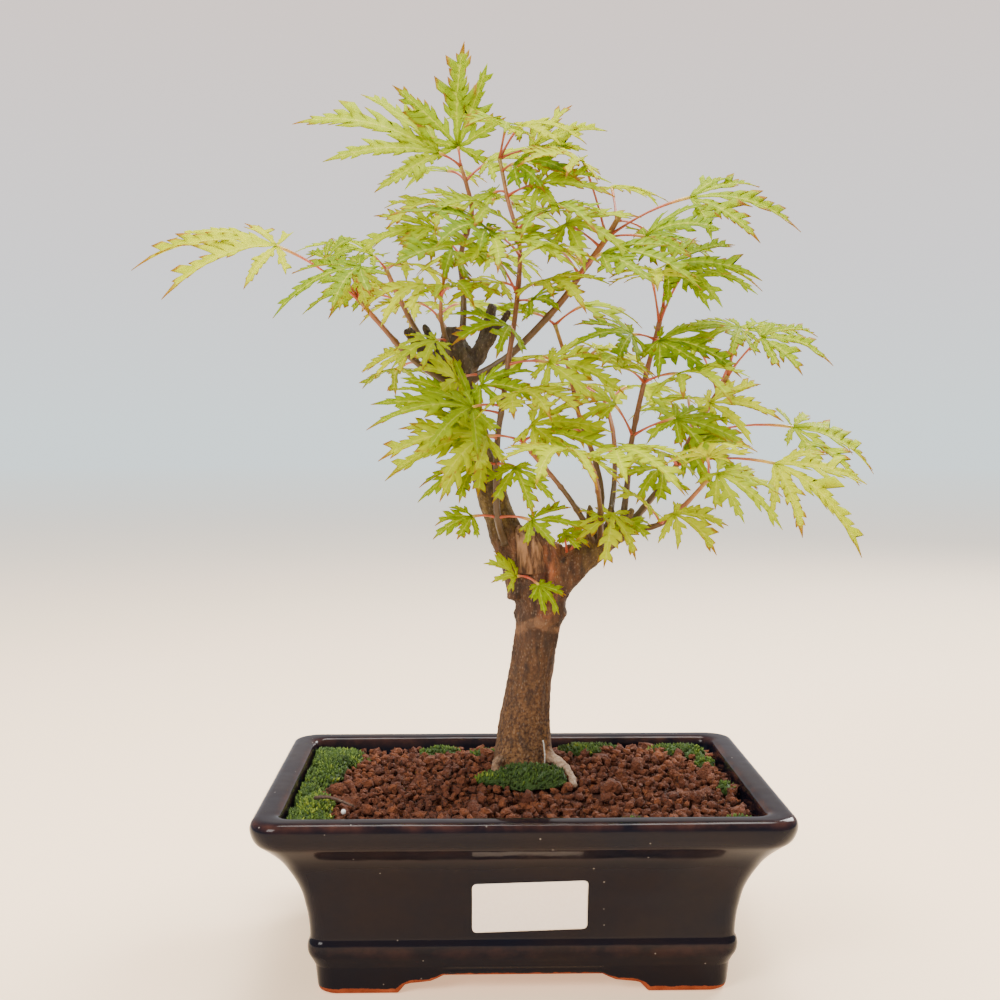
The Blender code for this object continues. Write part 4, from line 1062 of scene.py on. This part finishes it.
# each pair: its shoot, and for each leaf its blade's foot and tip in mm and its lean in degrees
LEAF_PAIRS = {
    "left_long": (
        "left_low", ((-86, -10, 255), (-137, -13, 249), 30), ((-56, -18, 247), (-85, -28, 232), 30)),
    "left_far": (
        "left_high", ((-54, 18, 255), (-83, 20, 260), 20), ((-44, 28, 253), (-26, 50, 248), 10)),
    "left_middle": (
        "left_high", ((-57, 19, 241), (-80, 14, 237), 25), ((-46, 36, 246), (-62, 62, 240), 10)),
    "left_twig": (
        "left_twig", ((-34, -15, 241), (-51, -30, 229), 30), ((-24, -18, 240), (-18, -46, 234), 30)),
    "left_low": (
        "left_low", ((-40, 8, 219), (-58, 12, 211), 35), ((-44, 18, 213), (-50, 38, 206), 10)),
    "apex_top": (
        "apex", ((-22, 11, 294), (-25, 8, 331), 80), ((-29, 8, 291), (-83, 2, 303), 45)),
    "apex_side": (
        "apex", ((-11, 10, 288), (12, 8, 288), 35), ((-26, 28, 288), (-40, 60, 290), 5)),
    "apex_middle": (
        "apex", ((-27, 4, 272), (-47, -16, 263), 30), ((-8, 15, 276), (12, 25, 274), 10)),
    "apex_low": (
        "apex", ((-30, 26, 264), (-58, 42, 264), 10), ((-8, 30, 256), (6, 56, 252), 5)),
    "centre_top": (
        "centre", ((0, -6, 298), (24, -12, 294), 30), ((-5, -15, 296), (-20, -38, 292), 30)),
    "centre_upper": (
        "centre", ((-10, -18, 266), (-34, -44, 266), 35), ((8, -18, 266), (22, -50, 261), 30)),
    "centre_middle": (
        "centre", ((-9, -20, 250), (-34, -38, 252), 35), ((8, -20, 242), (22, -46, 234), 35)),
    "centre_low": (
        "centre", ((-17, -18, 198), (-52, -32, 194), 40), ((-2, -24, 203), (12, -54, 196), 35)),
    "centre_foot": (
        "centre", ((-16, -14, 177), (-34, -26, 166), 30), ((-2, -17, 177), (3, -32, 161), 30)),
    "fork_pair": (
        "centre", ((-17, -8, 159), (-31, -14, 153), 45), ((4, -14, 158), (22, -24, 156), 45)),
    "oblique_high": (
        "oblique", ((22, -15, 284), (-2, -32, 282), 35), ((60, -13, 272), (98, -18, 264), 40)),
    "oblique_back": (
        "oblique", ((34, 4, 278), (54, 18, 276), 15), ((48, 6, 262), (78, 22, 254), 20)),
    "oblique_low": (
        "oblique", ((28, -24, 251), (60, -42, 243), 35), ((12, -28, 252), (2, -58, 247), 30)),
    "inner_top": (
        "right_inner", ((6, 20, 234), (-14, 40, 236), 10), ((24, 14, 236), (48, 24, 230), 25)),
    "inner_middle": (
        "right_inner", ((30, 18, 220), (56, 30, 210), 25), ((10, 24, 218), (-8, 46, 210), 10)),
    "inner_low": (
        "right_inner", ((14, 10, 196), (2, -2, 199), 35), ((22, 26, 190), (12, 50, 184), 10)),
    "low_spray": (
        "right_low", ((-12, -22, 188), (-50, -36, 184), 40), ((8, -21, 189), (33, -32, 181), 40)),
    "tall_top": (
        "right_tall", ((46, -16, 244), (44, -48, 240), 30), ((59, -8, 247), (82, -24, 238), 35)),
    "tall_middle": (
        "right_tall", ((56, -14, 210), (74, -40, 204), 30), ((36, -16, 212), (24, -44, 214), 30)),
    "tall_low": (
        "right_tall", ((56, -9, 194), (80, -18, 183), 40), ((34, -10, 199), (16, -8, 203), 40)),
    "long_top": (
        "right_long", ((81, 2, 227), (60, -10, 221), 40), ((90, 8, 224), (116, 4, 219), 40)),
    "long_upper": (
        "right_long", ((88, 24, 228), (116, 40, 228), 15), ((68, 24, 224), (54, 50, 220), 10)),
    "long_middle": (
        "right_long", ((104, 16, 191), (138, 26, 176), 35), ((66, 26, 202), (60, 54, 198), 10)),
    "long_low": (
        "right_long", ((92, -8, 178), (124, -18, 152), 40), ((50, -10, 182), (34, -36, 178), 30)),
    "outer_tip": (
        "right_outer", ((68, -26, 175), (89, -36, 159), 40), ((64, -30, 181), (66, -58, 186), 30)),
    "outer_low": (
        "right_outer", ((53, -26, 161), (68, -37, 151), 45), ((44, -19, 164), (33, -34, 168), 40)),
    "back_left": (
        "back_left", ((-38, 46, 240), (-58, 74, 234), 0), ((-22, 50, 240), (-6, 84, 234), 0)),
    "back_right": (
        "back_right", ((45, 50, 207), (64, 80, 200), 0), ((27, 52, 208), (12, 84, 200), 0)),
    "front": (
        "front", ((14, -52, 184), (-2, -84, 176), 25), ((30, -52, 184), (44, -83, 175), 25)),
}
for name, (shoot, *pair) in LEAF_PAIRS.items():
    name = "leaves_" + name
    outline = KDTree(len(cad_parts[name].data.vertices))
    for index, vert in enumerate(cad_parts[name].data.vertices):
        outline.insert(vert.co, index)
    outline.balance()
    seat = min(shoot_paths["shoot_" + shoot], key=lambda spot: outline.find(spot)[2])
    leaf_piece(name + "_blades", pair, lambda foot: seat, [name])


# More leaves: the crown is fuller than its main pairs. Small shoots between them carry
# these, so each stalk starts at the nearest stem.

EXTRA_LEAVES = {
    "middle_pale": [((-12, -34, 258), (-44, -46, 262), 30), ((-11, -34, 256), (14, -52, 243), 30)],
    "middle_green": [((-7, -14, 242), (-24, -24, 235), 35), ((4, -8, 236), (23, -18, 241), 30)],
    "middle_back": [((-20, 20, 256), (-38, 30, 250), 20), ((6, 14, 259), (26, 24, 253), 20)],
    "upper_back": [((-2, 6, 272), (18, 14, 264), 25), ((-9, 4, 276), (-24, 8, 268), 30)],
    "trunk_front": [((-1, -5, 137), (-13, -10, 144), 40), ((7, -7, 134), (15, -12, 125), 40)],
    "fork_small": [((16, -8, 153), (25, -13, 149), 40), ((30, -8, 158), (24, -20, 160), 40)],
    "limb_right": [((33, -10, 160), (30, -24, 142), 50), ((38, -8, 157), (46, -18, 154), 40)],
    "head_front": [((-16, -10, 197), (-52, -22, 199), 62), ((-14, -8, 206), (6, -20, 203), 60)],
    "head_upper": [((-22, -6, 208), (-38, -16, 213), 55), ((-30, -6, 222), (-46, -18, 214), 45)],
    "left_edge": [((-60, -6, 246), (-50, -20, 232), 50), ((-70, 4, 252), (-60, 14, 262), 40)],
    "middle_low": [((-13, -16, 187), (-48, -24, 180), 55), ((4, -16, 192), (30, -28, 190), 50)],
    "middle_fill": [((10, -14, 214), (36, -26, 206), 50), ((-4, -20, 226), (-24, -40, 222), 45)],
    "crown_left": [((-30, -4, 262), (-58, -12, 256), 50), ((-24, -8, 254), (-44, -26, 247), 50)],
    "crown_right": [((52, -10, 248), (84, -22, 246), 50), ((44, -14, 258), (68, -30, 262), 50)],
    "crown_middle": [((16, -16, 262), (40, -32, 252), 50), ((6, -14, 276), (30, -28, 270), 50)],
    "top_right": [((4, -4, 290), (30, -8, 300), 50), ((-2, -10, 284), (22, -24, 280), 50)],
    "tall_side": [((50, -8, 222), (78, -20, 214), 45), ((40, -10, 224), (18, -22, 222), 45)],
    "right_low": [((60, -4, 184), (84, -14, 172), 50), ((52, 0, 176), (40, -16, 166), 50)],
    "right_fill": [((70, 2, 200), (96, -6, 196), 45), ((62, 4, 196), (44, -8, 190), 45)],
}
# where the leaves on the bark itself start, in mm
BARK_SEATS = {"trunk_front": (3, -2.5, 136.5), "fork_small": (18, 4, 144),
              "limb_right": (35, -2, 152)}
stems = [spot for path in shoot_paths.values() for spot in path[3:]]


def nearest_stem(foot):
    return min(stems, key=lambda spot: (spot - foot).length + 0.6 * max(0, spot.z - foot.z))


for name, leaves in EXTRA_LEAVES.items():
    seat_of = (lambda foot: Vector(BARK_SEATS[name]) * MM) if name in BARK_SEATS else nearest_stem
    leaf_piece(f"leaves_{name}_blades", leaves, seat_of)


# The floor: a wide pale table top that fades into a pale blue-grey room, lit by three
# large soft lamps.

ROOM_LOW = (0.60, 0.68, 0.70)
ROOM_MIDDLE = (0.62, 0.615, 0.63)
ROOM_HIGH = (0.66, 0.56, 0.52)
ROOM_SEEN = 1.95
ROOM_LIGHT = 1.0

floor_paint, tree, surface, here = finish("floor_paint", 0.9, 0.1)
out = put(tree, "ShaderNodeVectorMath", {0: here}, operation="LENGTH").outputs["Value"]
warm = patchy(tree, here, 2, 0.3, 0.7)
painted(tree, surface, blended(tree, warm, (0.93, 0.73, 0.52), (0.95, 0.76, 0.56)))
surface.inputs["Emission Color"].default_value = (1.0, 0.72, 0.44, 1)
surface.inputs["Emission Strength"].default_value = 0.75
# how far the room's haze has taken over, as a share of 6 m out from the pot
FADE = [(0, 0), (0.035, 0), (0.08, 0.09), (0.12, 0.19), (0.175, 0.33), (0.283, 0.52),
        (0.53, 0.78), (1, 1)]
fade = graded(tree, stretched(tree, out, 0.0, 6.0), [(at, (share,) * 3) for at, share in FADE])
haze = put(tree, "ShaderNodeEmission", {"Color": (*ROOM_LOW, 1), "Strength": ROOM_SEEN})
mixed_out(tree, fade, surface, haze)
bm = bmesh.new()
bmesh.ops.create_circle(bm, cap_ends=True, segments=96, radius=40)
mesh = bpy.data.meshes.new("floor")
bm.to_mesh(mesh)
bm.free()
mesh.materials.append(floor_paint)
floor = bpy.data.objects.new("floor", mesh)
bpy.context.scene.collection.objects.link(floor)

room = bpy.data.worlds.new("room")
bpy.context.scene.world = room
room.use_nodes = True
tree = room.node_tree
tree.nodes.clear()
towards = put(tree, "ShaderNodeTexCoord").outputs["Generated"]
up_share = put(tree, "ShaderNodeSeparateXYZ", {0: towards}).outputs[2]
sky = graded(tree, stretched(tree, up_share, 0.0, 0.3),
             [(0, ROOM_LOW), (0.35, ROOM_MIDDLE), (1, ROOM_HIGH)])
seen = put(tree, "ShaderNodeLightPath").outputs["Is Camera Ray"]
strength = stretched(tree, seen, 0.0, 1.0, ROOM_LIGHT, ROOM_SEEN)
backdrop = put(tree, "ShaderNodeBackground", {"Color": sky, "Strength": strength})
put(tree, "ShaderNodeOutputWorld", {"Surface": backdrop.outputs[0]})


def soft_light(name, place, aim, size, power, colour):
    light = bpy.data.lights.new(name, "AREA")
    light.size = size
    light.energy = power
    light.color = colour
    made = bpy.data.objects.new(name, light)
    bpy.context.scene.collection.objects.link(made)
    made.location = place
    made.rotation_euler = (Vector(aim) - Vector(place)).to_track_quat("-Z", "Y").to_euler()


soft_light("overhead", (0.1, 0.15, 1.5), (0, 0, 0.15), 0.8, 46, (1.0, 0.98, 0.94))
soft_light("front_left", (-0.9, -1.1, 0.9), (0, 0, 0.18), 0.6, 24, (1.0, 0.97, 0.92))
soft_light("back_right", (0.9, 1.0, 0.9), (0, 0, 0.2), 0.6, 26, (1.0, 0.98, 0.95))

camera = bpy.data.cameras.new("camera")
camera.sensor_width = 36
camera.lens = 50.4
camera_object = bpy.data.objects.new("camera", camera)
bpy.context.scene.collection.objects.link(camera_object)
camera_object.location = (-0.0185, -0.510, 0.1923)
camera_object.rotation_euler = (math.radians(90 - 3.12), 0, math.radians(-1.31))
bpy.context.scene.camera = camera_object
